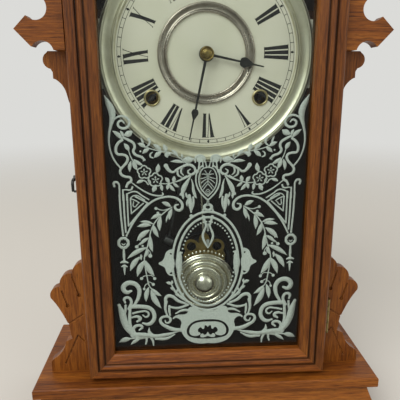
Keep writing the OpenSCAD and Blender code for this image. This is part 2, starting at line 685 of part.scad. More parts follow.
// Movement plates: the back plate carries the pillars and the feet, the front plate the outside studs
module plate_shape() difference() {
    plate_side = [[movement_low_x, -movement_low], [movement_x - 8, -46], [movement_x, -30],
        [movement_x, -20], [movement_top_x, 20], [movement_top_x, movement_high]];
    polygon(concat(plate_side, reversed([for (at = plate_side) [-at[0], at[1]]])));
    disc([0, -30], 12);
    both() disc([46, 22], 9);
}
train_holes = [[time_main, winding_arbor_r], [strike_main, winding_arbor_r], [centre, centre_arbor_r],
    [time_second, arbor_r], [time_third, arbor_r], [escape_at, thin_arbor_r],
    [strike_second, arbor_r], [pin_at, arbor_r], [fly_at, thin_arbor_r], [hammer_at, arbor_r]];
module pivot_holes() for (h = train_holes) disc(h[0], h[1] + running);
pillar_nose_r = 2;
module front_plate() color(brass) at_dial() {
    slab(plate_depth, movement_plate_t) difference() {
        union() {
            plate_shape();
            translate(verge_at) square([24, 16], center = true);
        }
        pivot_holes();
        for (at = pillars) disc(at, pillar_nose_r + running);
        disc(post_at, post_r);
    }
    spindle(motion_at, hour_depth - 0.4, plate_depth, stud_r);
    spindle(verge_at, plate_depth - 6, plate_depth, thin_arbor_r);
}
module back_plate() color(brass) at_dial() {
    slab(rear_depth, movement_plate_t) difference() {
        plate_shape();
        pivot_holes();
        for (at = feet) disc(at, screw_r + running);
    }
    for (at = pillars) {
        spindle(at, train_depth, rear_depth, pillar_r);
        spindle(at, plate_depth - 1.6, train_depth, pillar_nose_r);
    }
    difference() {
        for (at = feet) spindle(at, rear_depth + movement_plate_t, board_depth, foot_r);
        for (at = feet) spindle(at, rear_depth, board_depth + 1, screw_r + running);
    }
}
module movement_screws() color(steel) at_dial() for (at = feet) {
    spindle(at, rear_depth, board_depth + screw_grip, screw_r);
    spindle(at, rear_depth - 1.4, rear_depth, screw_head_r);
}

// Mainsprings: a spiral strip from beside the arbor to a loop round a pillar
spring_steps = 24;
pillar_bearing = bearing(time_main, pillars[0]);
function spiral(offset) = [for (i = [0:spring_turns * spring_steps])
    polar(spring_inner + offset + spring_pitch * i / spring_steps,
        pillar_bearing - 360 * (spring_turns - i / spring_steps))];
function reversed(list) = [for (i = [len(list) - 1:-1:0]) list[i]];
module mainspring() slab(spring_depth, spring_w) translate(time_main) {
    polygon(concat(spiral(0), reversed(spiral(spring_t))));
    spring_end = spring_inner + spring_pitch * spring_turns;
    pillar_away = norm(pillars[0] - time_main);
    difference() {
        union() {
            rotate(pillar_bearing) translate([spring_end, -spring_t / 2])
                square([pillar_away - spring_end, spring_t]);
            disc(pillars[0] - time_main, pillar_r + running + spring_t);
        }
        disc(pillars[0] - time_main, pillar_r + running);
    }
}
module mainsprings() color(steel) at_dial() both() mainspring();

// Winding arbors with their ratchets and square ends
key_square = 3.4;
key_l = 6;
winding_end = dial_depth + dial_t + 0.8;
module winding_arbor(at) {
    spindle(at, winding_end + key_l, rear_depth + movement_plate_t + pivot_end, winding_arbor_r);
    slab(winding_end, key_l) translate(at) square(key_square, center = true);
    slab(ratchet_depth, wheel_t) translate(at) polygon([for (i = [0:ratchet_teeth - 1]) each
        [polar(ratchet_r, i * 360 / ratchet_teeth), polar(ratchet_r - 1.4, (i + 0.1) * 360 / ratchet_teeth)]]);
}
module time_winding_arbor() color(steel) at_dial() winding_arbor(time_main);
module strike_winding_arbor() color(steel) at_dial() winding_arbor(strike_main);

// Time train
module main_wheel(at, next) wheel(at, main_depth, main_teeth, main_module, bearing(at, next), main_wheel_t,
    winding_arbor_r + running);
module time_main_wheel() color(brass) at_dial() main_wheel(time_main, time_second);
module time_second_wheel() color(brass) at_dial() {
    arbor(time_second, arbor_r);
    pinion(time_second, main_depth - 0.5, second_pinion, main_module, bearing(time_second, time_main));
    wheel(time_second, second_depth, second_teeth, second_module, bearing(time_second, centre));
}
module centre_wheel() color(brass) at_dial() {
    pinion(centre, second_depth - 0.8, centre_pinion, second_module, bearing(centre, time_second), pinion_l,
        centre_arbor_r + running);
    slab(second_depth - 0.8 + pinion_l, centre_depth - second_depth + 0.8 - pinion_l) difference() {
        circle(2.9);
        circle(centre_arbor_r + running);
    }
    wheel(centre, centre_depth, centre_teeth, centre_module, bearing(centre, time_third), wheel_t,
        centre_arbor_r + running);
}
module time_third_wheel() color(brass) at_dial() {
    arbor(time_third, arbor_r);
    pinion(time_third, centre_depth - 0.8, third_pinion, centre_module, bearing(time_third, centre));
    wheel(time_third, third_depth, third_teeth, third_module, bearing(time_third, escape_at));
}
module escape_wheel() color(brass) at_dial() {
    spindle(escape_at, escape_depth - 0.6, rear_depth + movement_plate_t + pivot_end, thin_arbor_r);
    pinion(escape_at, third_depth - 0.8, escape_pinion, third_module, bearing(escape_at, time_third));
    slab(escape_depth, 1) translate(escape_at) difference() {
        polygon([for (i = [0:escape_teeth - 1]) each [polar(escape_r - 1.6, (i - 0.3) * 360 / escape_teeth),
            polar(escape_r, i * 360 / escape_teeth), polar(escape_r - 1.6, (i + 0.05) * 360 / escape_teeth)]]);
        windows(escape_r - 2.6, 2.6, 1.6);
    }
}
// The verge spans the escape wheel clear of its teeth, and its crutch reaches down to the pendulum rod
pallet_r = escape_r + 0.9;
hub_r = 2.6;
fork_z = 19;
crutch_r = 0.7;
strip_w = 4;
crutch_depth = pendulum_depth + strip_w / 2 + swing_clear + crutch_r;
module verge() color(steel) at_dial() {
    slab(escape_depth - 0.2, 1.4) difference() {
        union() {
            intersection() {
                difference() {
                    disc(escape_at, pallet_r + 2.2);
                    disc(escape_at, pallet_r);
                }
                translate(escape_at) polygon([[0, 0], polar(40, 42), polar(60, 90), polar(40, 138)]);
            }
            disc(verge_at, hub_r);
        }
        disc(verge_at, thin_arbor_r + running);
    }
    slab(crutch_depth - crutch_r, escape_depth - 0.2 - crutch_depth + crutch_r) difference() {
        disc(verge_at, hub_r);
        disc(verge_at, thin_arbor_r + running);
    }
    translate([verge_at[0], crutch_depth, fork_z + 0.6])
        cylinder(h = verge_at[1] - hub_r + 0.8 - fork_z - 0.6, r = crutch_r);
    translate([verge_at[0], 0, fork_z]) linear_extrude(1.2) difference() {
        translate([-3, pendulum_depth - 2.4]) square([6, crutch_depth + crutch_r - pendulum_depth + 2.4]);
        translate([0, pendulum_depth]) circle(pendulum_rod_r + swing_clear);
    }
}

// Pendulum: post, suspension strip and rod, bowed round the hand arbor, with the bob in front of it
post_at = verge_at + [0, 7];
post_r = 2;
post_low = 3.4;
post_h = 7;
strip_t = 0.4;
strip_top = 6;
strip_l = 14;
strip_room = 0.5;
module suspension_post() color(brass) at_dial() {
    spindle(post_at, pendulum_depth + strip_w / 2 + 1.2, train_depth, post_r);
    translate([verge_at[0], pendulum_depth, verge_at[1] + post_low]) difference() {
        translate([-3, -strip_w / 2 - 1.4, 0]) cube([6, strip_w + 2.8, post_h]);
        translate([-strip_t / 2 - strip_room, -strip_w / 2 - strip_room, -1])
            cube([strip_t + 2 * strip_room, strip_w + 2 * strip_room, strip_top - post_low + 1.4]);
    }
}
rod_top = verge_at[1] + strip_top - strip_l;
bow = -7;
rod_points = [[0, rod_top + 2], [0, fork_z - 1], [bow, 6], [bow, -8], [0, -bob_drop + bob_r + 6],
    [0, -bob_drop - bob_r - 12]];
module pendulum_rod() color(steel) at_dial() translate([pendulum_x, 0, 0]) {
    translate([-strip_t / 2, pendulum_depth - strip_w / 2, rod_top]) cube([strip_t, strip_w, strip_l]);
    wire(rod_points, pendulum_depth, pendulum_rod_r, 12);
}
// The bob is a dome within three rounded rings, which step back towards the rim
dome_r = 9;
dome_h = 5.5;
dome_curve = (dome_r ^ 2 + dome_h ^ 2) / (2 * dome_h);
dome_edge = asin(dome_r / dome_curve);
rings = 3;
ring_first = 4.2;
ring_step = 0.85;
ring_gap = 1.75;
rim_w = 0.75;
ring_pitch = (bob_r - dome_r - ring_gap - rim_w) / rings;
rim_depth = 8;
function ring_mid(i) =
    [dome_r + ring_gap + (i + 0.5) * ring_pitch, ring_first + i * ring_step + ring_pitch / 2];
bob_profile = concat(
    [[0, bob_t]], arc([0, dome_curve], dome_curve, -90, dome_edge - 90), [[dome_r + 0.5, dome_h + 0.4]],
    [for (i = [0:rings - 1]) each arc(ring_mid(i), ring_pitch / 2, 205, 335, 8)],
    [[bob_r - 0.3, rim_depth - 0.3], [bob_r, rim_depth], [bob_r, bob_t]]);
strap_w = 4.4;
strap_h = 8;
strap_sink = 0.2;
// Pressed crown on the bob's rim: a band, two loops and a leaf, drawn from the bob's middle
crown_t = 1.2;
crown_sink = 0.5;
loop_at = [10.5, bob_r + 6.5];
loop_r = 6.2;
loop_hole_r = 3.8;
crown_half = concat(
    arc([0, 0], bob_r - crown_sink, 87, 48, 6), [[loop_at[0] + 6.9, bob_r - 1]], arc(loop_at, loop_r, -35, 155),
    bend([4.4, bob_r + 10.5], [5.2, bob_r + 14.5], [0.8, bob_r + 18.5]), [[0, bob_r + 20]]);
module crown() slab(bob_depth + rim_depth + 0.4, crown_t) translate(bob_at) difference() {
    polygon(concat(crown_half, mirrored(crown_half)));
    both() disc(loop_at, loop_hole_r);
}
module pendulum_bob() color(nickel) at_dial() {
    turned(bob_at) translate([0, bob_depth]) polygon(bob_profile);
    crown();
    for (z = [-bob_r, bob_r - 2 * strap_h]) translate([pendulum_x, 0, z - bob_drop])
        linear_extrude(strap_h) difference() {
        translate([-strap_w / 2, bob_depth + bob_t - strap_sink])
            square([strap_w, strap_sink + 2 * pendulum_rod_r + 2]);
        translate([0, pendulum_depth]) circle(pendulum_rod_r + running);
    }
}
nut_r = 3.6;
nut_h = 3;
module rating_nut() color(brass) at_dial() translate([pendulum_x, pendulum_depth, -bob_drop - bob_r - nut_h])
    difference() {
        cylinder(h = nut_h, r = nut_r);
        translate([0, 0, -1]) cylinder(h = nut_h + 2, r = pendulum_rod_r + running);
    }

// Hands and motion work
module centre_arbor() color(steel) at_dial() {
    spindle(centre, minute_hand_depth - 1.6, rear_depth + movement_plate_t + pivot_end, centre_arbor_r);
    pinion(centre, cannon_depth, cannon_teeth, motion_module, bearing(centre, motion_at), wheel_t);
}
// Half of a hand's outline: a slim blade, a spade with round shoulders, and a slender point
function hand_half(l, blade_w, spade_r, spade_l, point_l) = let(neck = l - point_l - spade_l) concat(
    [[blade_w / 2, 0], [blade_w * 0.36, neck]],
    bend([spade_r * 0.55, neck], [spade_r * 0.95, neck + 0.1 * spade_l], [spade_r, neck + 0.34 * spade_l], 5),
    bend([spade_r * 0.96, neck + 0.44 * spade_l], [spade_r * 0.6, neck + 0.7 * spade_l],
        [0.62, neck + spade_l], 5),
    [[0.45, l - 0.4], [0, l]]);
function mirrored(list) = [for (i = [len(list) - 2:-1:0]) [-list[i][0], list[i][1]]];
module hand_shape(half, hub) union() {
    circle(hub);
    polygon(concat(half, mirrored(half)));
}
minute_angle = -6 * minutes_shown;
hour_angle = hour_slip - 90 - minutes_shown / 2;
module minute_hand() color(iron) at_dial() slab(minute_hand_depth, hand_t) rotate(minute_angle) difference() {
    hand_shape(hand_half(minute_hand_len, 2.1, 2.6, 7.8, 15.4), 4);
    circle(centre_arbor_r);
}
module hour_hand() color(iron) at_dial() slab(hour_hand_depth, hand_t) rotate(hour_angle) difference() {
    hand_shape(hand_half(hour_hand_len, 1.9, 3.6, 9.8, 8.2), 5.5);
    circle(hour_pipe_r);
}
nut_rim_r = 5.1;
module hand_nut() color(brass) at_dial() difference() {
    turned(centre) translate([0, minute_hand_depth]) polygon(concat([[0, 0], [nut_rim_r, 0]],
        arc([nut_rim_r - 0.5, -0.5], 0.5, 0, -120, 4), [[nut_rim_r - 1.6, -0.5], [3, -0.7], [2.9, -1.8]],
        bend([2.6, -2.2], [1.6, -2.7], [0, -2.7], 5)));
    spindle(centre, minute_hand_depth - 1.6, minute_hand_depth + 1, centre_arbor_r);
}
module motion_wheel() color(brass) at_dial() difference() {
    union() {
        wheel(motion_at, cannon_depth, motion_teeth, motion_module, bearing(motion_at, centre), crossed = false);
        pinion(motion_at, hour_depth, motion_pinion, motion_module, bearing(motion_at, centre),
            cannon_depth + wheel_t / 2 - hour_depth);
    }
    spindle(motion_at, hour_depth - 1, cannon_depth + wheel_t + 1, stud_r + running);
}
module hour_wheel() color(brass) at_dial() {
    wheel(centre, hour_depth, hour_teeth, motion_module, bearing(centre, motion_at), wheel_t,
        centre_arbor_r + running);
    slab(hour_hand_depth, hour_depth + wheel_t / 2 - hour_hand_depth) difference() {
        circle(hour_pipe_r);
        circle(centre_arbor_r + running);
    }
}

// Strike train, hammer and gong
module strike_main_wheel() color(brass) at_dial() main_wheel(strike_main, strike_second);
module strike_second_wheel() color(brass) at_dial() {
    arbor(strike_second, arbor_r);
    pinion(strike_second, main_depth - 0.5, second_pinion, main_module, bearing(strike_second, strike_main));
    wheel(strike_second, second_depth, strike_teeth, strike_module, bearing(strike_second, pin_at));
}
pin_ring_r = pin_teeth * pin_module / 2 - 1.5;
module pin_wheel() color(brass) at_dial() {
    arbor(pin_at, arbor_r);
    pinion(pin_at, second_depth - 0.8, pin_pinion, strike_module, bearing(pin_at, strike_second));
    wheel(pin_at, pin_depth, pin_teeth, pin_module, bearing(pin_at, fly_at));
    for (a = [0:45:315]) spindle(pin_at + along(a, pin_ring_r), pin_depth + 0.2, pin_depth + wheel_t + 1.6, 0.5);
}
module strike_fly() color(brass) at_dial() {
    arbor(fly_at, thin_arbor_r);
    pinion(fly_at, pin_depth - 0.8, fly_pinion, pin_module, bearing(fly_at, pin_at));
    translate([fly_at[0] - fly_r, third_depth + 3, fly_at[1] - 0.3]) cube([2 * fly_r, 11, 0.6]);
}
hammer_head_r = 4;
hammer_head_l = 8;
hammer_gap = 2;
hammer_head_at = gong_at + along(150, gong_outer + gong_wire_r + hammer_gap + hammer_head_l / 2);
hammer_rod_r = 1.1;
hammer_depth = gong_depth;
module strike_hammer() color(steel) at_dial() {
    arbor(hammer_at, arbor_r);
    translate([hammer_at[0], hammer_depth, hammer_at[1]]) rotate([0, 90 - bearing(hammer_at, hammer_head_at), 0])
        cylinder(h = norm(hammer_head_at - hammer_at), r = hammer_rod_r);
    translate([hammer_head_at[0], hammer_depth, hammer_head_at[1]]) rotate([0, 120, 0])
        cylinder(h = hammer_head_l, r = hammer_head_r, center = true);
}

// Gong: one flat spiral of round wire, from a block on a post in its middle outwards
gong_block = 4;
gong_start = gong_block + 2 * gong_wire_r;
gong_turn_in = 3;
gong_path = concat([[gong_block, 0]],
    bend([gong_start, 0], [gong_inner, 0], polar(gong_inner + gong_pitch * gong_turn_in / gong_rings, 45), 5),
    [for (i = [gong_turn_in + 1:gong_loops * gong_rings]) polar(gong_inner + gong_pitch * i / gong_rings,
        360 * i / gong_rings)]);
gong_gap = min([for (i = [0:len(gong_path) - 1]) for (j = [i + 12:len(gong_path) - 1])
    norm(gong_path[i] - gong_path[j])]) - 2 * gong_wire_r;
echo(gong_least_gap = gong_gap);
module gong_coil() color(steel) at_dial() translate([gong_at[0], 0, gong_at[1]])
    wire(gong_path, gong_depth, gong_wire_r, gong_sides);
gong_foot_r = 14;
gong_foot_t = 4;
gong_post_r = 3;
module gong_base() color(iron) at_dial() {
    turned(gong_at) polygon([[0, board_depth], [gong_foot_r, board_depth],
        [gong_foot_r, board_depth - gong_foot_t + 1], [gong_foot_r - 1, board_depth - gong_foot_t],
        [gong_post_r, board_depth - gong_foot_t - 1], [gong_post_r, gong_depth], [0, gong_depth]]);
    translate([gong_at[0], gong_depth, gong_at[1]]) cube([2 * gong_block, 5, 2 * gong_block], center = true);
}

base_plate();
base_front_moulding();
base_side_mouldings();
base_back_rail();
case_left_side();
case_right_side();
case_top();
back_board();
crest_board();
crest_cleat();
left_corbel();
right_corbel();
left_foot_bracket();
right_foot_bracket();
door_left_stile();
door_right_stile();
door_top_rail();
door_bottom_rail();
door_glass();
glass_stops();
door_hinge_leaves();
case_hinge_leaves();
hinge_pins();
latch_hook();
latch_pivot();
latch_catch();
dial_cleats();
dial_pan();
dial_bezel();
dial_centre_ring();
winding_grommets();
front_plate();
back_plate();
movement_screws();
mainsprings();
time_winding_arbor();
strike_winding_arbor();
time_main_wheel();
time_second_wheel();
centre_wheel();
time_third_wheel();
escape_wheel();
verge();
suspension_post();
pendulum_rod();
pendulum_bob();
rating_nut();
centre_arbor();
minute_hand();
hand_nut();
motion_wheel();
hour_wheel();
hour_hand();
strike_main_wheel();
strike_second_wheel();
pin_wheel();
strike_fly();
strike_hammer();
gong_coil();
gong_base();
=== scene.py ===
from math import atan2, cos, degrees, pi, radians, sin
import bpy
import bmesh
from mathutils import Matrix, Vector


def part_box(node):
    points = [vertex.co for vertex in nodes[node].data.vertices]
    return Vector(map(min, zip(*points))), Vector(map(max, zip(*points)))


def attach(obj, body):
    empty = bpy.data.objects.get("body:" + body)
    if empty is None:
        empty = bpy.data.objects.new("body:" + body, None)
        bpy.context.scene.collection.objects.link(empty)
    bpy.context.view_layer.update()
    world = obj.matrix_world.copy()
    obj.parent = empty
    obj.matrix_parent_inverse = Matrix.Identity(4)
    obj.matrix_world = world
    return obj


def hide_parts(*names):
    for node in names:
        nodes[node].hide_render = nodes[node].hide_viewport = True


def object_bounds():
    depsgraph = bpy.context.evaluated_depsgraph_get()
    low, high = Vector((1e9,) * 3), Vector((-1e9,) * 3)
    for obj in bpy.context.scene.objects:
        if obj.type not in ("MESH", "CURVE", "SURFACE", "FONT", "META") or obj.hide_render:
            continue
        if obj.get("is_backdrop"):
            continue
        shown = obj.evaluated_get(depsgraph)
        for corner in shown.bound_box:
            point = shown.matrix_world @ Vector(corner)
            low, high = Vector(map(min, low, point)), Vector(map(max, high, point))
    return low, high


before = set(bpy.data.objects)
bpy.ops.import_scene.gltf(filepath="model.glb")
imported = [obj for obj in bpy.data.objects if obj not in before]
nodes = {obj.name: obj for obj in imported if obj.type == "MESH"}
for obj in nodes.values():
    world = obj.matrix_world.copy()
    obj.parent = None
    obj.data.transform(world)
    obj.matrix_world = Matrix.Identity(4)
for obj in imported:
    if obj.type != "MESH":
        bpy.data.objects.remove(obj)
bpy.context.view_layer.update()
mm = 0.001
doorLow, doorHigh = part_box("door_left_stile")[0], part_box("door_right_stile")[1]
beadProud = 0.3 * mm  # the moulding's bead stands this far before the door's front
doorFront = doorLow.y + beadProud
dialZ = sum(corner.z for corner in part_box("dial_bezel")) / 2  # height of the dial's middle
dialFace = 22.6  # depth of the dial's face behind the door's front, in millimetres
print("frame loaded")


def fromHex(text):
    # sRGB hex to linear
    channels = [int(text[i:i + 2], 16) / 255 for i in (1, 3, 5)]
    return tuple(c / 12.92 if c <= 0.04045 else ((c + 0.055) / 1.055) ** 2.4 for c in channels) + (1.0,)


def addNode(tree, kind, inputs=None, stops=(), **settings):
    # one node with its settings, its links or values, and the stops of a colour ramp
    node = tree.nodes.new(kind)
    for name, value in settings.items():
        setattr(node, name, value)
    for name, value in (inputs or {}).items():
        if isinstance(value, bpy.types.NodeSocket):
            tree.links.new(value, node.inputs[name])
        else:
            node.inputs[name].default_value = value
    for i, (place, colour) in enumerate(stops):
        ramp = node.color_ramp.elements
        stop = ramp[i] if i < len(ramp) else ramp.new(place)
        stop.position = place
        stop.color = fromHex(colour)
    return node


def newMaterial(name):
    material = bpy.data.materials.new(name)
    material.use_nodes = True
    material.node_tree.nodes.clear()
    return material.node_tree


# Walnut, sawn, moulded and varnished: orange-brown with fine streaks along the grain, short dark pores,
# painted shade in the two grooves round the door, edges drawn lighter with wear and a painted highlight,
# and a soft gloss. The pores are drawn coarser than real ones, so that they show
walnut = {
    "dark": "#43200a", "mid": "#63350d", "light": "#7e4a16", "poreAndGrooveShade": "#241003", "rubbedAndHighlit": "#a06a33",
    "streak": 1.1 * mm, "figure": 24 * mm, "pore": 0.45 * mm, "poreDepth": 0.4 * mm, "along": 0.05,
    "softEdge": 0.35 * mm, "roughness": 0.42, "gloss": 0.22, "insideShadeTone": 0.13, "insideShadeRed": 0.4,
    "grooves": (8.0 * mm, 13.4 * mm), "grooveHalf": 1.5 * mm, "grooveDepth": 3 * mm,
}
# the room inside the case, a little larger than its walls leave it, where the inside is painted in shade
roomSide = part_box("case_right_side")[0].x + mm
roomLow = (-roomSide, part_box("case_left_side")[0].y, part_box("base_plate")[1].z - mm)
roomHigh = (roomSide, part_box("back_board")[0].y + mm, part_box("case_top")[0].z + mm)


def makeWalnut(name, grain, paintedLightTone=1.0, shadedInside=False, moulded=False):
    s = walnut
    tree = newMaterial(name)
    place = addNode(tree, "ShaderNodeTexCoord").outputs["Object"]
    parts = addNode(tree, "ShaderNodeSeparateXYZ", {0: place}).outputs
    stretch = {"x": (s["along"], 1, 1), "y": (1, s["along"], 1), "z": (1, 1, s["along"])}[grain]
    grained = addNode(tree, "ShaderNodeMapping", {"Vector": place, "Scale": stretch}).outputs["Vector"]
    figure = addNode(tree, "ShaderNodeTexNoise", {"Vector": grained, "Scale": 1 / s["figure"], "Detail": 3.0,
                                                  "Distortion": 0.9}).outputs["Fac"]
    streak = addNode(tree, "ShaderNodeTexNoise", {"Vector": grained, "Scale": 1 / s["streak"], "Detail": 5.0,
                                                  "Roughness": 0.66}).outputs["Fac"]
    pore = addNode(tree, "ShaderNodeTexNoise", {"Vector": grained, "Scale": 1 / s["pore"],
                                                "Detail": 2.0}).outputs["Fac"]
    tint = addNode(tree, "ShaderNodeMath", {0: figure, 1: 0.5}, operation="MULTIPLY").outputs[0]
    tint = addNode(tree, "ShaderNodeMath", {0: streak, 1: 0.75, 2: tint}, operation="MULTIPLY_ADD").outputs[0]
    colour = addNode(tree, "ShaderNodeValToRGB", {"Fac": tint},
                     [(0.46, s["dark"]), (0.62, s["mid"]), (0.80, s["light"])]).outputs["Color"]
    poreMask = addNode(tree, "ShaderNodeMapRange", {"Value": pore, "From Min": 0.46, "From Max": 0.34,
                                                    "To Max": 0.5}).outputs[0]
    colour = addNode(tree, "ShaderNodeMix", {0: poreMask, 6: colour, 7: fromHex(s["poreAndGrooveShade"])},
                     data_type="RGBA").outputs[2]
    # edges: the rounded normal leaves the true one near a corner, and there the wood is drawn lighter, partly
    # wear and partly a painted highlight
    soft = addNode(tree, "ShaderNodeBevel", {"Radius": s["softEdge"]}, samples=4).outputs["Normal"]
    plain = addNode(tree, "ShaderNodeNewGeometry").outputs["Normal"]
    facing = addNode(tree, "ShaderNodeVectorMath", {0: soft, 1: plain}, operation="DOT_PRODUCT")
    edge = addNode(tree, "ShaderNodeMapRange", {"Value": facing.outputs["Value"], "From Min": 0.985,
                                                "From Max": 0.8}).outputs[0]
    wornAndHighlit = addNode(tree, "ShaderNodeMath", {0: edge, 1: figure}, operation="MULTIPLY").outputs[0]
    colour = addNode(tree, "ShaderNodeMix", {0: wornAndHighlit, 6: colour, 7: fromHex(s["rubbedAndHighlit"])},
                     data_type="RGBA").outputs[2]
    if moulded:
        # how far a point of the door lies in from the nearest edge tells where its two grooves run
        aside = addNode(tree, "ShaderNodeMath", {0: parts["X"]}, operation="ABSOLUTE").outputs[0]
        fromSide = addNode(tree, "ShaderNodeMath", {0: doorHigh.x, 1: aside}, operation="SUBTRACT").outputs[0]
        fromFoot = addNode(tree, "ShaderNodeMath", {0: parts["Z"], 1: doorLow.z},
                           operation="SUBTRACT").outputs[0]
        fromHead = addNode(tree, "ShaderNodeMath", {0: doorHigh.z, 1: parts["Z"]},
                           operation="SUBTRACT").outputs[0]
        fromEnd = addNode(tree, "ShaderNodeMath", {0: fromFoot, 1: fromHead}, operation="MINIMUM").outputs[0]
        inward = addNode(tree, "ShaderNodeMath", {0: fromSide, 1: fromEnd}, operation="MINIMUM").outputs[0]
        # the grooves on the door's front are drawn in the dark pore colour: painted shade in the grooves
        front = addNode(tree, "ShaderNodeMath", {0: parts["Y"], 1: doorFront + s["grooveDepth"]},
                        operation="LESS_THAN").outputs[0]
        for groove in s["grooves"]:
            away = addNode(tree, "ShaderNodeMath", {0: inward, 1: groove}, operation="SUBTRACT").outputs[0]
            away = addNode(tree, "ShaderNodeMath", {0: away}, operation="ABSOLUTE").outputs[0]
            stainAndGrooveShade = addNode(tree, "ShaderNodeMapRange", {"Value": away, "From Min": s["grooveHalf"],
                                                         "From Max": 0.0, "To Max": front}).outputs[0]
            colour = addNode(tree, "ShaderNodeMix", {0: stainAndGrooveShade, 6: colour, 7: fromHex(s["poreAndGrooveShade"])},
                             data_type="RGBA").outputs[2]
    shade, depth = paintedLightTone, 1.0
    if shadedInside:
        # the inside of the case is drawn darker and less red: painted shade inside the case
        inside = 1.0
        for axis, low, high in zip("XYZ", roomLow, roomHigh):
            above = addNode(tree, "ShaderNodeMath", {0: parts[axis], 1: low},
                            operation="GREATER_THAN").outputs[0]
            under = addNode(tree, "ShaderNodeMath", {0: parts[axis], 1: high},
                            operation="LESS_THAN").outputs[0]
            within = addNode(tree, "ShaderNodeMath", {0: above, 1: under}, operation="MULTIPLY").outputs[0]
            inside = addNode(tree, "ShaderNodeMath", {0: within, 1: inside}, operation="MULTIPLY").outputs[0]
        shade = addNode(tree, "ShaderNodeMapRange", {"Value": inside, "To Min": paintedLightTone,
                                                     "To Max": s["insideShadeTone"]}).outputs[0]
        depth = addNode(tree, "ShaderNodeMapRange", {"Value": inside, "To Min": 1.0,
                                                     "To Max": s["insideShadeRed"]}).outputs[0]
    colour = addNode(tree, "ShaderNodeHueSaturation", {"Color": colour, "Value": shade,
                                                       "Saturation": depth}).outputs["Color"]
    rough = addNode(tree, "ShaderNodeMapRange", {"Value": streak, "To Min": s["roughness"] - 0.08,
                                                 "To Max": s["roughness"] + 0.14}).outputs[0]
    bump = addNode(tree, "ShaderNodeBump", {"Height": pore, "Normal": soft, "Strength": 0.2,
                                            "Distance": s["poreDepth"]}).outputs["Normal"]
    wood = addNode(tree, "ShaderNodeBsdfPrincipled", {"Base Color": colour, "Roughness": rough,
                                                      "Normal": bump, "IOR": 1.5,
                                                      "Specular IOR Level": s["gloss"],
                                                      "Coat Weight": 0.06, "Coat Roughness": 0.2})
    addNode(tree, "ShaderNodeOutputMaterial", {"Surface": wood.outputs["BSDF"]})


# Metals, rolled, drawn or plated: a bright skin with slow tarnish in patches, duller there, and fine
# brushing, which is drawn coarser than it is, so that it shows
metals = {
    "agedBrass": {"clean": "#c09a52", "stainAndGrooveShade": "#6f5427", "roughness": 0.30, "spot": 9, "fine": 0.6},
    "duskyBrass": {"clean": "#a08a55", "stainAndGrooveShade": "#5d4b28", "roughness": 0.38, "spot": 4, "fine": 0.4},
    "paleBrass": {"clean": "#d8c89a", "stainAndGrooveShade": "#9c8a5c", "roughness": 0.30, "spot": 5, "fine": 0.4},
    "wornNickel": {"clean": "#efebdb", "stainAndGrooveShade": "#cfc8b2", "roughness": 0.22, "spot": 12, "fine": 0.5},
    "bezelNickel": {"clean": "#e4e0cc", "stainAndGrooveShade": "#c9c3aa", "roughness": 0.38, "spot": 18, "fine": 0.5},
    "ringNickel": {"clean": "#c4bab0", "stainAndGrooveShade": "#978d82", "roughness": 0.24, "spot": 14, "fine": 0.5},
    "drawnSteel": {"clean": "#8f9193", "stainAndGrooveShade": "#55534f", "roughness": 0.36, "spot": 7, "fine": 0.4},
    "darkSteel": {"clean": "#2c2b2c", "stainAndGrooveShade": "#181718", "roughness": 0.40, "spot": 5, "fine": 0.4},
    "blueSteel": {"clean": "#4c4e55", "stainAndGrooveShade": "#2b2c30", "roughness": 0.36, "spot": 10, "fine": 0.4},
}


def makeMetal(name):
    # spot and fine are the sizes of the tarnish and of the brushing, in millimetres
    s = metals[name]
    tree = newMaterial(name)
    place = addNode(tree, "ShaderNodeTexCoord").outputs["Object"]
    spot = addNode(tree, "ShaderNodeTexNoise", {"Vector": place, "Scale": 1 / (s["spot"] * mm), "Detail": 6.0,
                                                "Roughness": 0.6}).outputs["Fac"]
    fine = addNode(tree, "ShaderNodeTexNoise", {"Vector": place, "Scale": 1 / (s["fine"] * mm),
                                                "Detail": 3.0}).outputs["Fac"]
    colour = addNode(tree, "ShaderNodeValToRGB", {"Fac": spot},
                     [(0.42, s["clean"]), (0.72, s["stainAndGrooveShade"])]).outputs["Color"]
    rough = addNode(tree, "ShaderNodeMapRange", {"Value": spot, "To Min": s["roughness"] - 0.06,
                                                 "To Max": s["roughness"] + 0.14}).outputs[0]
    bump = addNode(tree, "ShaderNodeBump", {"Height": fine, "Strength": 0.05,
                                            "Distance": 0.2 * mm}).outputs["Normal"]
    metal = addNode(tree, "ShaderNodeBsdfPrincipled", {"Base Color": colour, "Metallic": 1.0,
                                                       "Roughness": rough, "Normal": bump})
    addNode(tree, "ShaderNodeOutputMaterial", {"Surface": metal.outputs["BSDF"]})


# Japanned iron: black stoving paint with a dull gloss and dusty patches
blackIron = {"paint": "#0d0d0d", "dusty": "#201f1d", "dust": 5 * mm, "roughness": (0.36, 0.6)}


def makeBlackIron(name):
    s = blackIron
    tree = newMaterial(name)
    place = addNode(tree, "ShaderNodeTexCoord").outputs["Object"]
    dust = addNode(tree, "ShaderNodeTexNoise", {"Vector": place, "Scale": 1 / s["dust"],
                                                "Detail": 5.0}).outputs["Fac"]
    colour = addNode(tree, "ShaderNodeValToRGB", {"Fac": dust},
                     [(0.4, s["paint"]), (0.75, s["dusty"])]).outputs["Color"]
    rough = addNode(tree, "ShaderNodeMapRange", {"Value": dust, "To Min": s["roughness"][0],
                                                 "To Max": s["roughness"][1]}).outputs[0]
    bump = addNode(tree, "ShaderNodeBump", {"Height": dust, "Strength": 0.1,
                                            "Distance": 0.3 * mm}).outputs["Normal"]
    iron = addNode(tree, "ShaderNodeBsdfPrincipled", {"Base Color": colour, "Roughness": rough,
                                                      "Normal": bump, "IOR": 1.5})
    addNode(tree, "ShaderNodeOutputMaterial", {"Surface": iron.outputs["BSDF"]})


# Dial paper: ivory card pasted on the pan, evenly matt with faint yellowing in clouds and small specks
dialPaper = {"ivory": "#dfd9cc", "yellowed": "#d5d0bf", "foxed": "#b8a67c",
             "cloud": 38 * mm, "speck": 1.6 * mm}


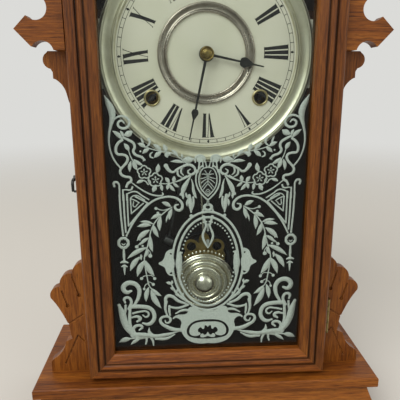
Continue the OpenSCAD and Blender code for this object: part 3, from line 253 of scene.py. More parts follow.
def makeDialPaper(name):
    s = dialPaper
    tree = newMaterial(name)
    place = addNode(tree, "ShaderNodeTexCoord").outputs["Object"]
    cloud = addNode(tree, "ShaderNodeTexNoise", {"Vector": place, "Scale": 1 / s["cloud"],
                                                 "Detail": 4.0}).outputs["Fac"]
    speck = addNode(tree, "ShaderNodeTexNoise", {"Vector": place, "Scale": 1 / s["speck"],
                                                 "Detail": 2.0}).outputs["Fac"]
    aged = addNode(tree, "ShaderNodeValToRGB", {"Fac": cloud},
                   [(0.35, s["ivory"]), (0.7, s["yellowed"])]).outputs["Color"]
    fox = addNode(tree, "ShaderNodeMapRange", {"Value": speck, "From Min": 0.70, "From Max": 0.82,
                                               "To Max": 0.3}).outputs[0]
    colour = addNode(tree, "ShaderNodeMix", {0: fox, 6: aged, 7: fromHex(s["foxed"])},
                     data_type="RGBA").outputs[2]
    bump = addNode(tree, "ShaderNodeBump", {"Height": speck, "Strength": 0.05,
                                            "Distance": 0.2 * mm}).outputs["Normal"]
    paper = addNode(tree, "ShaderNodeBsdfPrincipled", {"Base Color": colour, "Roughness": 0.6, "Normal": bump,
                                                       "IOR": 1.45})
    addNode(tree, "ShaderNodeOutputMaterial", {"Surface": paper.outputs["BSDF"]})


# Printer's ink and silvered stencil paint: thin matt films, broken a little by wear
films = {
    "dialInk": {"full": "#101013", "thin": "#232224", "roughness": 0.6, "grit": 2 * mm},
    "silverStencil": {"full": "#c8cdcb", "thin": "#abb1ae", "roughness": 0.6, "grit": 1.2 * mm},
}


def makeFilm(name):
    s = films[name]
    tree = newMaterial(name)
    place = addNode(tree, "ShaderNodeTexCoord").outputs["Object"]
    wear = addNode(tree, "ShaderNodeTexNoise", {"Vector": place, "Scale": 1 / s["grit"],
                                                "Detail": 4.0}).outputs["Fac"]
    colour = addNode(tree, "ShaderNodeValToRGB", {"Fac": wear},
                     [(0.42, s["full"]), (0.75, s["thin"])]).outputs["Color"]
    bump = addNode(tree, "ShaderNodeBump", {"Height": wear, "Strength": 0.08,
                                            "Distance": 0.1 * mm}).outputs["Normal"]
    film = addNode(tree, "ShaderNodeBsdfPrincipled", {"Base Color": colour, "Roughness": s["roughness"],
                                                      "Normal": bump})
    addNode(tree, "ShaderNodeOutputMaterial", {"Surface": film.outputs["BSDF"]})


# Old window glass: a thin pane, clear with the least green, that shows the room faintly and a little wavy
windowGlass = {"tint": "#f0f3f0", "wave": 60 * mm, "waveDepth": 2 * mm, "roughness": 0.04}


def makeGlass(name):
    s = windowGlass
    tree = newMaterial(name)
    place = addNode(tree, "ShaderNodeTexCoord").outputs["Object"]
    wave = addNode(tree, "ShaderNodeTexNoise", {"Vector": place, "Scale": 1 / s["wave"],
                                                "Detail": 1.0}).outputs["Fac"]
    bump = addNode(tree, "ShaderNodeBump", {"Height": wave, "Strength": 0.05,
                                            "Distance": s["waveDepth"]}).outputs["Normal"]
    clear = addNode(tree, "ShaderNodeBsdfTransparent", {"Color": fromHex(s["tint"])}).outputs["BSDF"]
    gloss = addNode(tree, "ShaderNodeBsdfGlossy", {"Color": fromHex("#ffffff"), "Roughness": s["roughness"],
                                                   "Normal": bump}).outputs["BSDF"]
    share = addNode(tree, "ShaderNodeFresnel", {"IOR": 1.44, "Normal": bump}).outputs["Fac"]
    outside = addNode(tree, "ShaderNodeMixShader", {0: share, 1: clear, 2: gloss}).outputs["Shader"]
    # the far face, met from within, lets everything through, so the pane stays clear at a slant
    within = addNode(tree, "ShaderNodeNewGeometry").outputs["Backfacing"]
    pane = addNode(tree, "ShaderNodeMixShader", {0: within, 1: outside, 2: clear})
    addNode(tree, "ShaderNodeOutputMaterial", {"Surface": pane.outputs["Shader"]})


# each part's walnut is drawn lighter or darker for how the light falls on it, the rails, base and crest lit
# and the stiles and case sides in shade: painted light and shade, as lit and shaded copies of one walnut
makeWalnut("stileWalnut", "z", moulded=True)
makeWalnut("railWalnut", "x", 1.65, moulded=True)
makeWalnut("crestWalnut", "x", 1.35)
makeWalnut("bracketWalnut", "z", 1.3)
makeWalnut("corbelWalnut", "z", 1.1)
makeWalnut("baseWalnut", "x", 1.5, shadedInside=True)
makeWalnut("baseSideWalnut", "y", 1.4)
makeWalnut("caseWalnut", "z", shadedInside=True)
makeWalnut("caseTopWalnut", "x", shadedInside=True)
# the glass stops and dial cleats inside the case are drawn much darker: painted shade
makeWalnut("innerWalnut", "z", 0.3)
for name in metals:
    makeMetal(name)
for name in films:
    makeFilm(name)
makeBlackIron("blackIron")
makeDialPaper("dialPaper")
makeGlass("windowGlass")
materials = bpy.data.materials
print("materials made")

# the finish of each node: what isn't listed is aged brass
finishes = {
    "stileWalnut": ["door_left_stile", "door_right_stile"],
    "railWalnut": ["door_top_rail", "door_bottom_rail"],
    "crestWalnut": ["crest_board", "crest_cleat"],
    "bracketWalnut": ["left_foot_bracket", "right_foot_bracket"],
    "corbelWalnut": ["left_corbel", "right_corbel"],
    "baseWalnut": ["base_plate", "base_front_moulding", "base_back_rail"],
    "baseSideWalnut": ["base_side_mouldings"],
    "caseWalnut": ["case_left_side", "case_right_side", "back_board"],
    "caseTopWalnut": ["case_top"],
    "innerWalnut": ["glass_stops", "dial_cleats"],
    "blackIron": ["latch_hook", "latch_pivot", "latch_catch", "minute_hand", "hour_hand", "gong_base"],
    "dialPaper": ["dial_pan"],
    "windowGlass": ["door_glass"],
    "bezelNickel": ["dial_bezel"],
    "ringNickel": ["dial_centre_ring"],
    "wornNickel": ["pendulum_bob", "pendulum_rod"],
    "paleBrass": ["winding_grommets"],
    "duskyBrass": ["hand_nut", "door_hinge_leaves", "case_hinge_leaves", "hinge_pins"],
    "darkSteel": ["time_winding_arbor", "strike_winding_arbor"],
    "drawnSteel": ["movement_screws", "verge", "centre_arbor", "strike_hammer"],
    "blueSteel": ["mainsprings", "gong_coil"],
}
finishOf = {name: finish for finish, names in finishes.items() for name in names}
for name, node in nodes.items():
    node.data.materials.clear()
    node.data.materials.append(materials[finishOf.get(name, "agedBrass")])
print("nodes finished")


def linkMesh(name, shape, finish):
    mesh = bpy.data.meshes.new(name)
    shape.to_mesh(mesh)
    shape.free()
    mesh.materials.append(materials[finish])
    thing = bpy.data.objects.new(name, mesh)
    bpy.context.scene.collection.objects.link(thing)
    return thing


def meshPiece(name, shape, finish, body):
    piece = linkMesh(name, shape, finish)
    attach(piece, body)
    return piece


def addCurveMesh(shape, curve):
    # a curve made a mesh and put into the shape; gives its new vertices
    holder = bpy.data.objects.new(curve.name, curve)
    bpy.context.scene.collection.objects.link(holder)
    mesh = bpy.data.meshes.new_from_object(holder.evaluated_get(bpy.context.evaluated_depsgraph_get()))
    before = set(shape.verts)
    shape.from_mesh(mesh)
    bpy.data.objects.remove(holder)
    bpy.data.meshes.remove(mesh)
    bpy.data.curves.remove(curve)
    return [vert for vert in shape.verts if vert not in before]


def bezierSpline(curve, points, closed=False):
    # points are x and z in millimetres, and the width of the stroke there
    spline = curve.splines.new("BEZIER")
    spline.bezier_points.add(len(points) - 1)
    spline.use_cyclic_u = closed
    spline.radius_interpolation = "CARDINAL"
    for knot, (x, z, width) in zip(spline.bezier_points, points):
        knot.co = (x * mm, 0, z * mm)
        knot.radius = width / 2
        knot.handle_left_type = knot.handle_right_type = "AUTO"


def arcPoints(middle, radius, start, stop, count=12):
    turns = [radians(start + (stop - start) * i / count) for i in range(count + 1)]
    return [(middle[0] + radius * cos(a), middle[1] + radius * sin(a)) for a in turns]


def bendPoints(a, b, c, count=12):
    shares = [i / count for i in range(count + 1)]
    return [tuple((1 - t) ** 2 * p + 2 * t * (1 - t) * q + t * t * r for p, q, r in zip(a, b, c))
            for t in shares]


def spinProfile(shape, profile, middle, steps=144):
    # a profile of [radius, depth behind the door's front] in millimetres, spun about a line along Y
    x, z = middle
    knots = [shape.verts.new(((x + r) * mm, doorFront + depth * mm, dialZ + z * mm)) for r, depth in profile]
    lines = [shape.edges.new(pair) for pair in zip(knots, knots[1:])]
    bmesh.ops.spin(shape, geom=knots + lines, cent=(x * mm, doorFront, dialZ + z * mm), axis=(0, 1, 0),
                   angle=2 * pi, steps=steps, use_merge=True)


def finishTurning(shape, crease=32):
    bmesh.ops.remove_doubles(shape, verts=shape.verts, dist=1e-6)
    bmesh.ops.recalc_face_normals(shape, faces=shape.faces)
    for face in shape.faces:
        face.smooth = True
    for line in shape.edges:
        line.smooth = line.is_manifold and line.calc_face_angle(0) < radians(crease)


# Pendulum bob: a pressed dome within three rounded rings, with a flat back and two straps for the rod
bob = {
    "middle": (-1.5, -181), "radius": 25, "depth": 17.8, "thick": 10, "dome": 9, "domeHeight": 5.5,
    "rings": 3, "ringArc": (335, 205), "first": 4.2, "step": 0.85, "gap": 1.75, "rim": 0.75,
    "rimDepth": 8, "rimRound": 0.3, "valley": (0.5, 0.4), "strap": (4.4, 4, 8), "strapSink": 0.2,
    "strapRound": 0.5,
}
domeCurve = (bob["dome"] ** 2 + bob["domeHeight"] ** 2) / (2 * bob["domeHeight"])
domeEdge = -degrees(atan2(domeCurve - bob["domeHeight"], bob["dome"]))
ringPitch = (bob["radius"] - bob["dome"] - bob["gap"] - bob["rim"]) / bob["rings"]
bobProfile = [(0, bob["thick"]), (bob["radius"], bob["thick"]), (bob["radius"], bob["rimDepth"]),
              (bob["radius"] - bob["rimRound"], bob["rimDepth"] - bob["rimRound"])]
for i in reversed(range(bob["rings"])):
    ringReach = bob["dome"] + bob["gap"] + (i + 0.5) * ringPitch
    ringDepth = bob["first"] + i * bob["step"] + ringPitch / 2
    bobProfile += arcPoints((ringReach, ringDepth), ringPitch / 2, *bob["ringArc"])
bobProfile.append((bob["dome"] + bob["valley"][0], bob["domeHeight"] + bob["valley"][1]))
bobProfile += arcPoints((0, domeCurve), domeCurve, domeEdge, -90, count=20)
bobShape = bmesh.new()
spinProfile(bobShape, [(r, bob["depth"] + depth) for r, depth in bobProfile], bob["middle"])
finishTurning(bobShape)
bobX, bobZ = bob["middle"][0] * mm, dialZ + bob["middle"][1] * mm
strapWide, strapDeep, strapHigh = bob["strap"]
strapY = doorFront + (bob["depth"] + bob["thick"] + strapDeep / 2 - bob["strapSink"]) * mm
# one strap at the bob's foot, and one its own height below the top
for lift in (-bob["radius"] + strapHigh / 2, bob["radius"] - 1.5 * strapHigh):
    place = Matrix.Translation((bobX, strapY, bobZ + lift * mm))
    size = Matrix.Diagonal((strapWide * mm, strapDeep * mm, strapHigh * mm, 1))
    strap = bmesh.ops.create_cube(bobShape, size=1, matrix=place @ size)
    rims = {line for vert in strap["verts"] for line in vert.link_edges}
    bmesh.ops.bevel(bobShape, geom=list(rims), offset=bob["strapRound"] * mm, affect="EDGES", segments=2,
                    profile=0.5, material=-1)

# its pressed crown: a band with a row of beads, two loops and a leaf, in millimetres from the bob's middle
crown = {
    "thick": 1.2, "sink": 0.5, "setBack": 8.4, "bandArc": (87, 48), "waist": (17.4, 24),
    "loop": (10.5, 31.5), "loopRadius": 6.2, "loopArc": (-35, 155), "holeRadius": 3.8, "holeKnots": 24,
    "leaf": ((4.4, 35.5), (5.2, 39.5), (0.8, 43.5)), "tip": (0, 45), "round": 0.25,
    "beads": 11, "bead": 1.2, "beadReach": 27.4, "beadFrom": 56,
}
crownHalf = arcPoints((0, 0), bob["radius"] - crown["sink"], *crown["bandArc"], count=6) + [crown["waist"]]
crownHalf += arcPoints(crown["loop"], crown["loopRadius"], *crown["loopArc"])
crownHalf += bendPoints(*crown["leaf"]) + [crown["tip"]]
loopX, loopZ = crown["loop"]
crownLines = [crownHalf + [(-x, z) for x, z in reversed(crownHalf[:-1])]]
holeEnd = 360 - 360 / crown["holeKnots"]
crownLines += [arcPoints((x, loopZ), crown["holeRadius"], 0, holeEnd, crown["holeKnots"] - 1)
               for x in (-loopX, loopX)]
crownCurve = bpy.data.curves.new("crownOutline", "CURVE")
crownCurve.dimensions = "2D"
crownCurve.fill_mode = "BOTH"
crownCurve.extrude = (crown["thick"] / 2 - crown["round"]) * mm
crownCurve.bevel_depth = crown["round"] * mm
crownCurve.bevel_resolution = 2
crownCurve.offset = -crown["round"] * mm
for line in crownLines:
    spline = crownCurve.splines.new("POLY")
    spline.points.add(len(line) - 1)
    spline.use_cyclic_u = True
    for knot, (x, z) in zip(spline.points, line):
        knot.co = (x * mm, z * mm, 0, 1)
crownVerts = addCurveMesh(bobShape, crownCurve)
for face in {face for vert in crownVerts for face in vert.link_faces}:
    face.material_index = 1
bmesh.ops.rotate(bobShape, verts=crownVerts, matrix=Matrix.Rotation(pi / 2, 3, "X"))
crownFront = doorFront + (bob["depth"] + crown["setBack"]) * mm
bmesh.ops.translate(bobShape, verts=crownVerts, vec=(bobX, crownFront + crown["thick"] / 2 * mm, bobZ))
beadEnd = 180 - crown["beadFrom"]
for x, z in arcPoints((0, 0), crown["beadReach"], crown["beadFrom"], beadEnd, crown["beads"] - 1):
    bmesh.ops.create_uvsphere(bobShape, u_segments=14, v_segments=8, radius=crown["bead"] * mm,
                              matrix=Matrix.Translation((bobX + x * mm, crownFront, bobZ + z * mm)))
bobPiece = meshPiece("bob_turned", bobShape, "wornNickel", "pendulum")
bobPiece.data.materials.append(materials["duskyBrass"])
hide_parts("pendulum_bob")

# Bezel, centre ring and winding grommets, to the profiles of their solids but finely turned:
# a profile goes out from the inner radius, and forward (minus) from the dial's face, in millimetres
turned = {
    "bezel_turned": {
        "node": "dial_bezel", "finish": "bezelNickel", "slot": "nickel", "middles": [(0, 0)], "inner": 66,
        "profile": [(0, 0), (0.3, -0.8)] + arcPoints((1.3, -0.9), 1, 180, 360) + [(3, -1)]
        + bendPoints((3.4, -1.6), (7, -1.4), (9, -3.2)) + arcPoints((10.6, -2), 1.4, 240, 360) + [(12, 0)],
    },
    "ring_turned": {
        "node": "dial_centre_ring", "finish": "ringNickel", "slot": "nickel", "middles": [(0, 0)],
        "inner": 28.5,
        "profile": [(0, 0)] + arcPoints((0.9, -0.9), 0.9, 180, 350)
        + bendPoints((2.2, -0.5), (3.55, 0.1), (4.7, -0.7)) + arcPoints((5.9, -0.9), 1.2, 190, 360)
        + [(7.1, 0)],
    },
    "grommets_turned": {
        "node": "winding_grommets", "finish": "paleBrass", "slot": "brass",
        "middles": [(-40.25, -30.85), (40.25, -30.85)], "inner": 4.8,
        "profile": [(-0.3, 0)] + arcPoints((0.5, -0.5), 0.8, 190, 350) + [(1.3, 0)],
    },
}
for name, s in turned.items():
    profile = [(s["inner"] + r, dialFace + depth) for r, depth in s["profile"]]
    shape = bmesh.new()
    for middle in s["middles"]:
        spinProfile(shape, profile + profile[:1], middle)
    finishTurning(shape)
    piece = meshPiece(name, shape, s["finish"], "case")
    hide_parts(s["node"])
print("metal turned")

# Printed dial: Roman numerals with their feet to the middle, and a ruled minute track with a lozenge
# at each hour, in millimetres and degrees
dialPrint = {
    "film": 0.04, "inner": 42.4, "outer": 60.4, "thick": 2.5, "thin": 0.45, "gap": 0.8, "serif": 0.4,
    "overhang": 0.4, "spreadV": 4.6, "pointV": 0.9, "footV": (0.3, 0.6), "splayV": 0.9, "spreadX": 6.2,
    "splayX": 0.6, "trackIn": 61.9, "trackOut": 64.5, "rule": 0.34, "tick": 0.36, "lozenge": 1.35,
    "lozengeSlim": 0.72, "turn": -1.39,
}
numerals = ["XII", "I", "II", "III", "IIII", "V", "VI", "VII", "VIII", "IX", "X", "XI"]


def addBar(shape, angle, inEnd, outEnd, inWidth, outWidth, rIn, rOut, steps=5):
    # a stroke between two radii, bent round the dial; ends and widths in millimetres along the middle radius
    middle = (dialPrint["inner"] + dialPrint["outer"]) / 2
    made = bmesh.ops.create_grid(shape, x_segments=1, y_segments=steps, size=0.5)["verts"]
    for vert in made:
        share = vert.co.y + 0.5
        width = inWidth + (outWidth - inWidth) * share
        bearing = angle + (inEnd + (outEnd - inEnd) * share + vert.co.x * width) / middle
        reach = rIn + (rOut - rIn) * share
        vert.co = (reach * sin(bearing) * mm, 0, reach * cos(bearing) * mm)


def addNumeral(shape, letters, angle):
    d = dialPrint
    thick, thin = d["thick"], d["thin"]
    widths = {"I": thick, "V": d["spreadV"], "X": d["spreadX"]}
    left = -(sum(widths[c] for c in letters) + d["gap"] * (len(letters) - 1)) / 2
    for letter in letters:
        wide = widths[letter]
        middle = left + wide / 2
        edge = (wide - thick) / 2
        # each stroke: where it ends at the inside and the outside, and its width there
        strokes = {
            "I": [(0, 0, thick, thick)],
            "V": [(d["footV"][0], -edge, d["pointV"], thick),
                  (d["footV"][1], edge + d["splayV"], thin, thin)],
            "X": [(edge, -edge, thick, thick), (-edge - d["splayX"], edge + d["splayX"], thin, thin)],
        }[letter]
        for inEnd, outEnd, inWidth, outWidth in strokes:
            addBar(shape, angle, middle + inEnd, middle + outEnd, inWidth, outWidth, d["inner"], d["outer"])
            feet = [(outEnd, outWidth, d["outer"] - d["serif"], d["outer"])]
            if letter != "V":
                feet.append((inEnd, inWidth, d["inner"], d["inner"] + d["serif"]))
            for end, width, low, high in feet:
                footWidth = width + 2 * d["overhang"]
                addBar(shape, angle, middle + end, middle + end, footWidth, footWidth, low, high, 1)
        left += wide + d["gap"]


def addRing(shape, radius, width):
    outer = bmesh.ops.create_circle(shape, segments=144, radius=(radius + width / 2) * mm)["verts"]
    inner = bmesh.ops.create_circle(shape, segments=144, radius=(radius - width / 2) * mm)["verts"]
    bmesh.ops.rotate(shape, verts=outer + inner, matrix=Matrix.Rotation(pi / 2, 3, "X"))
    rims = {edge for vert in outer + inner for edge in vert.link_edges}
    bmesh.ops.bridge_loops(shape, edges=list(rims))


printShape = bmesh.new()
for hour, letters in enumerate(numerals):
    addNumeral(printShape, letters, radians(30 * hour + dialPrint["turn"]))
trackIn, trackOut, tick = dialPrint["trackIn"], dialPrint["trackOut"], dialPrint["tick"]
reach = (trackIn + trackOut) / 2 * mm
for minute in range(60):
    bearing = radians(6 * minute + dialPrint["turn"])
    addBar(printShape, bearing, 0, 0, tick, tick, trackIn, trackOut, 1)
    if minute % 5 == 0:
        mark = bmesh.ops.create_circle(printShape, cap_ends=True, segments=4,
                                       radius=dialPrint["lozenge"] * mm)["verts"]
        bmesh.ops.rotate(printShape, verts=mark, matrix=Matrix.Rotation(pi / 2, 3, "X"))
        bmesh.ops.scale(printShape, vec=(dialPrint["lozengeSlim"], 1, 1), verts=mark)
        bmesh.ops.rotate(printShape, verts=mark, matrix=Matrix.Rotation(bearing, 3, "Y"))
        bmesh.ops.translate(printShape, verts=mark, vec=(reach * sin(bearing), 0, reach * cos(bearing)))
for radius in (trackIn, trackOut):
    addRing(printShape, radius, dialPrint["rule"])
bmesh.ops.recalc_face_normals(printShape, faces=printShape.faces)
for face in printShape.faces:
    if face.normal.y > 0:
        face.normal_flip()
printY = doorFront + (dialFace - dialPrint["film"]) * mm
bmesh.ops.translate(printShape, verts=printShape.verts, vec=(0, printY, dialZ))
meshPiece("dial_print", printShape, "dialInk", "case")
print("dial printed")

# Stencilled glass: half of a scroll and leaf pattern, in millimetres from the dial's middle. A stroke's
# points are x, z and width. A leaf is x and z at its stalk and at its tip, and its width. An oval is its
# middle's z, half width, half height and line, and the beads end with their radius and count
stencil = {
    "glassBack": 11.8, "clear": 0.09, "flat": 0.02, "aside": 0.5, "fillThick": 3, "capFrom": 0.7,
    "leafSwell": [(0, 0.2), (0.22, 0.74), (0.5, 1.0), (0.78, 0.64), (1, 0.06)], "leafBow": 0.06,
    "ovals": [(-157.5, 28, 41.4, 2.1), (-157.8, 24.1, 37.4, 2.2)], "ovalKnots": 28,
    "beads": (-157.8, 21.2, 33.9, 0.74, 60),
    "pendantRing": {"middle": (-65.5, -139.9), "reach": (3.7, 3.9), "widths": (2.2, 2.9), "knots": 16},
    "flowers": [(-47.7, -84.5, 5), (-39.4, -90.4, 5.2)],
    "petals": {"count": 5, "knots": 20, "notch": 0.2, "line": 1.15, "eye": 0.55,
               "vein": [(0.14, 0.3), (0.36, 1.2), (0.56, 0.5)]},
    "strokes": [
        # tendril and its volute
        [(-73.9, -28.7, 0.9), (-71.8, -33.4, 4.1), (-69.6, -38.4, 5.7), (-69.1, -43.4, 5),
         (-70.5, -49.4, 2.8), (-72.2, -56.6, 1.9), (-72.5, -63.3, 1.6), (-71.1, -70.7, 1.5),
         (-68.4, -76.6, 1.5), (-65.2, -80.7, 1.4)],
        [(-69.9, -48.8, 0.7), (-67.5, -45.1, 1.4), (-64, -43.3, 1.8), (-60.4, -43.6, 2),
         (-57.6, -45.8, 2.2), (-57.2, -48.8, 2.3), (-59.3, -51.4, 2.3), (-62.7, -51.8, 2.2),
         (-65.3, -49.8, 2), (-64.6, -47.1, 1.9), (-62.2, -46.6, 1.7), (-60.9, -48.1, 1)],
        # bow with ribbon ends
        [(-61.8, -58.6, 1.8), (-58.1, -60.5, 2.2), (-54.7, -62.9, 2.2), (-54, -65.9, 2.2),
         (-55.1, -68.9, 2.2), (-53.1, -71.6, 2.2), (-49.6, -72.9, 2.1), (-47, -75.2, 1.6)],
        [(-48.9, -72.8, 1.4), (-47.7, -74.6, 1.4), (-48.3, -76.4, 0.5)],
        [(-63, -60.3, 2.2), (-66, -62.7, 2.3), (-67.8, -67, 2.4), (-66.8, -70.6, 2.3),
         (-62.9, -71.1, 2.1), (-59.8, -72.8, 2.3), (-59.8, -75.9, 2.3), (-62.7, -79.6, 2.1),
         (-65.2, -82.7, 2.2), (-64.7, -85.9, 2.3), (-61.7, -87.7, 2.2), (-58.1, -88.5, 2.2),
         (-57.6, -91, 2.2), (-60.1, -92.9, 2.2), (-61.3, -95.3, 1.9)],
        [(-58.5, -68, 0.7), (-57.2, -72.7, 0.9), (-55.6, -75.8, 0.9)],
        # spray along the dial
        [(-49.7, -62.9, 0.6), (-44.9, -66, 0.9), (-38.9, -68, 0.9), (-32.1, -69.3, 0.9),
         (-26, -70.7, 0.9), (-21.1, -73.8, 0.9), (-16.8, -77.6, 1), (-14.8, -78.9, 1.1)],
        [(-43.5, -59.9, 2.3), (-42.8, -61.8, 2.1), (-43.7, -64.2, 1.6), (-45.4, -65.4, 0.9)],
        [(-40.9, -73.7, 1.1), (-42.6, -72.9, 1.4), (-42.6, -70.9, 1.4), (-40.8, -69.4, 0.7)],
        # sprig
        [(-36.5, -93.2, 0.8), (-30.8, -93.5, 1), (-25.2, -92.4, 1), (-21.4, -90.9, 1.1),
         (-16.3, -87.9, 1.3)],
        # arch
        [(-57.1, -92.3, 0.9), (-52.2, -96.3, 1.2), (-46.1, -100.2, 1.4), (-39.9, -102.5, 1.4),
         (-35.1, -102.7, 1.4)],
        [(-35.1, -102.7, 1.4), (-34, -101.7, 1.4), (-34.4, -100.6, 1.1)],
        # upper scroll
        [(-31.4, -79.8, 3.4), (-29.3, -83.1, 2.7), (-26.3, -84.7, 2.1), (-23, -82.6, 2.1),
         (-18.7, -80.4, 2.1), (-14.9, -79.3, 2.4), (-11.5, -80.2, 2.3), (-9.6, -83.1, 1.9),
         (-10.9, -86.3, 1.9), (-13.8, -86.3, 1.8), (-15, -84.1, 1.4), (-13.3, -82.7, 0.9)],
        [(-22.8, -82.9, 1.6), (-22.4, -87, 1.8), (-19.7, -88.7, 0.8)],
        [(-19.7, -81.7, 1.5), (-20.1, -85.2, 1.6), (-18, -87.4, 0.6)],
        [(-10.4, -85.4, 1.6), (-15.4, -88.4, 1.6), (-20.7, -90.9, 1.4), (-24.4, -92.3, 0.8)],
        # hanging leaves
        [(-13.1, -88.2, 0.9), (-15.9, -92.7, 3), (-18.4, -97.4, 4.2), (-19.7, -102.2, 2.5)],
        [(-12.5, -90.1, 0.7), (-11.4, -94.4, 1.7), (-11, -98.7, 2.5), (-9.9, -102.6, 2.5),
         (-8.7, -105.2, 0.7)],
        [(-14.2, -103, 2.5), (-13.7, -107.3, 3.8), (-13.2, -111.7, 3.4), (-12.9, -116, 1.3)],
        [(-11.2, -104.3, 1.7), (-11, -107.8, 1.9), (-11.4, -111.2, 1.7), (-12.2, -114.3, 0.7)],
        # spade in the oval's top
        [(-3.4, -120, 2.6), (-2, -125.5, 1.6), (-1.6, -128, 1.4)],
        [(-0.9, -126, 1.5), (-2.6, -130.5, 1.9), (-4, -135, 2.1), (-2.9, -139.8, 2), (0, -145.3, 1.2)],
        [(0, -126.5, 1.6), (0, -131, 1.8)],
        [(0, -139.5, 2.6), (0, -143.5, 1.8)],
        # hooks of the corner key
        [(-70.3, -94.7, 1.9), (-70.6, -92.4, 2.1), (-68.6, -91.7, 2.1), (-66.9, -93.3, 1.7),
         (-66.6, -97.3, 1.5), (-66.8, -105.7, 1.5)],
        [(-64, -97.9, 1.2), (-61.5, -97.6, 1.2), (-59.2, -98, 1.4), (-57.5, -97.3, 1.5),
         (-56.9, -95.7, 1.6)],
        # lines of the corner key
        [(-66.8, -101.8, 1.6), (-66.5, -116.7, 1.7), (-65.5, -133.7, 1.7)],
        [(-64.3, -105.7, 1.4), (-64, -97.9, 1.4)],
        [(-63.8, -101.8, 1.5), (-63.8, -115.2, 1.5), (-63.3, -131.1, 1.4)],
        [(-61, -101.9, 1.4), (-61.1, -114.5, 1.4), (-61, -126.1, 1.4)],
        [(-61, -126.1, 1.4), (-53.3, -117, 1.4), (-45.8, -108.3, 1.4)],
        [(-45.8, -108.3, 1.4), (-54.8, -103.2, 1.4)],
        [(-58.7, -104.7, 1.2), (-58.4, -116.3, 1.2)],
        [(-58.4, -116.3, 1.2), (-51.8, -110.7, 1.2), (-49.1, -108.4, 1.1)],
        [(-58.7, -104.7, 1.1), (-55, -106.1, 1.1), (-52.3, -108, 0.9)],
        [(-56.5, -107, 0.9), (-56.2, -111.1, 1.1), (-53.1, -108.6, 0.8)],
        [(-61.4, -105.8, 1.3), (-61.3, -101, 1.3)],
        [(-61.3, -101, 1.1), (-55, -99.1, 1.3), (-49.6, -102.6, 1.3), (-45, -105.5, 1.1)],
        [(-58.6, -105.8, 1), (-58.3, -103.9, 1), (-54.6, -102.2, 1.1), (-48.2, -105.8, 1)],
        # long sweep
        [(-62.9, -134.1, 1.5), (-57.3, -123.5, 1.8), (-49.3, -113.4, 1.8), (-42.3, -107.1, 1.8),
         (-34.5, -104.1, 1.8), (-27, -103.9, 2), (-21.7, -106.5, 2.3), (-19.5, -110.8, 2.5),
         (-21.4, -114.3, 2.5), (-24.4, -113.6, 2.3), (-25, -110.7, 2), (-22.7, -109.8, 1.1)],
        # pendant
        [(-67, -140.3, 0.6), (-65.5, -141.4, 1.1), (-64, -140.3, 0.6)],
        [(-65.5, -145.2, 1.7), (-65.6, -150.2, 2.3), (-65.6, -154.4, 1.9)],
        [(-68.4, -156.1, 1.2), (-65.7, -155.5, 3), (-62.9, -156.3, 1.2)],
        [(-67.9, -159.5, 0.9), (-65.7, -158.9, 2.7), (-63.5, -159.7, 0.9)],
        [(-65.7, -158.9, 2.2), (-65.7, -162.8, 1.7), (-65.7, -166.6, 0.5)],
        # garland stem and berry stalks
        [(-27.6, -111.9, 0.9), (-33.4, -116, 1.1), (-39.7, -122.2, 1.1), (-43.6, -129.3, 1.1),
         (-45.5, -136.6, 1.1), (-47.3, -144, 1.1), (-49.8, -152.3, 1.1), (-49.4, -160.7, 1.1),
         (-48.2, -169.3, 1.1), (-46.8, -176.3, 1.1), (-43, -181.8, 0.8)],
        [(-28.7, -112.5, 0.9), (-34.1, -114.2, 0.9), (-39.7, -112.6, 0.9)],
        [(-47.1, -137.4, 0.9), (-51.8, -139.7, 0.9), (-55.4, -143.3, 0.9)],
        [(-46.6, -145.7, 0.8), (-45.1, -148.2, 0.8), (-45.2, -151, 0.8)],
        [(-48.1, -167.6, 0.8), (-50.5, -168, 0.8), (-52.6, -170, 0.8)],
        [(-47.8, -167.6, 0.8), (-44.9, -167.7, 0.8), (-42.3, -170.3, 0.8)],
        [(-47.2, -174.5, 0.8), (-49.5, -175.3, 0.8), (-50.9, -179.1, 0.8)],
        [(-47.5, -172.8, 0.8), (-45.1, -173.9, 0.8), (-43.6, -175.3, 0.8)],
        [(-51.5, -151, 0.8), (-53, -151.8, 0.8), (-53.7, -153.8, 0.6)],
        # feather
        [(-29.5, -174.7, 1), (-27.1, -180.3, 1.9), (-23.3, -185.7, 2.4), (-17.4, -190.3, 2.4)],
        # swag
        [(-34.3, -192.5, 2.4), (-33.1, -186.3, 3.2), (-29, -186.1, 3.2), (-24, -190.3, 2.9),
         (-18.2, -192.8, 2.1)],
        [(-33.6, -190.7, 2.7), (-34.5, -196.9, 2.4), (-33.2, -202.6, 1.6)],
        [(-31.2, -194.7, 1.9), (-31.3, -198.8, 2.3), (-30.8, -202.7, 1.5)],
        [(-31.2, -195.4, 1.9), (-24, -196.6, 2.4), (-16.4, -194.1, 2.1)],
        [(-26, -201.4, 1.3), (-20.7, -198.8, 2.4), (-14.2, -199, 2.4)],
        # volute of the shell
        [(-22.2, -216.5, 3.6), (-27.6, -216, 4.1), (-33.3, -213.4, 3.6), (-37.8, -210, 2.9),
         (-38.5, -206, 2.6), (-34.7, -203.9, 2.4), (-31.1, -205.1, 2.4), (-30.9, -208.6, 2.3),
         (-33.9, -209.6, 1.8), (-34.9, -207.4, 1)],
        # acanthus corner
        [(-59.4, -193.4, 2.4), (-55.2, -184.7, 3.5), (-55.6, -177.2, 4.1), (-60.2, -173.6, 4.4),
         (-65.6, -174.7, 4.6), (-67.4, -178.4, 4.4), (-64.8, -181.6, 4), (-61.4, -180.5, 2.1)],
        [(-63.7, -196, 2.7), (-61.5, -189.5, 2.7), (-63.9, -186.2, 2.7), (-67, -187.4, 2.7),
         (-66.5, -190.4, 1.8)],
        [(-71.4, -192.7, 2.7), (-69.2, -200.2, 6.1), (-67.4, -208.9, 6.3), (-64, -215.9, 5.4),
         (-58, -221.5, 4.1)],
        [(-61.9, -194.2, 4.2), (-53, -194.5, 4), (-46.3, -196.5, 3.9), (-43.6, -201.5, 3.7),
         (-44.4, -207.1, 3.7), (-48.7, -210.4, 3.4), (-52.8, -209.3, 1.8)],
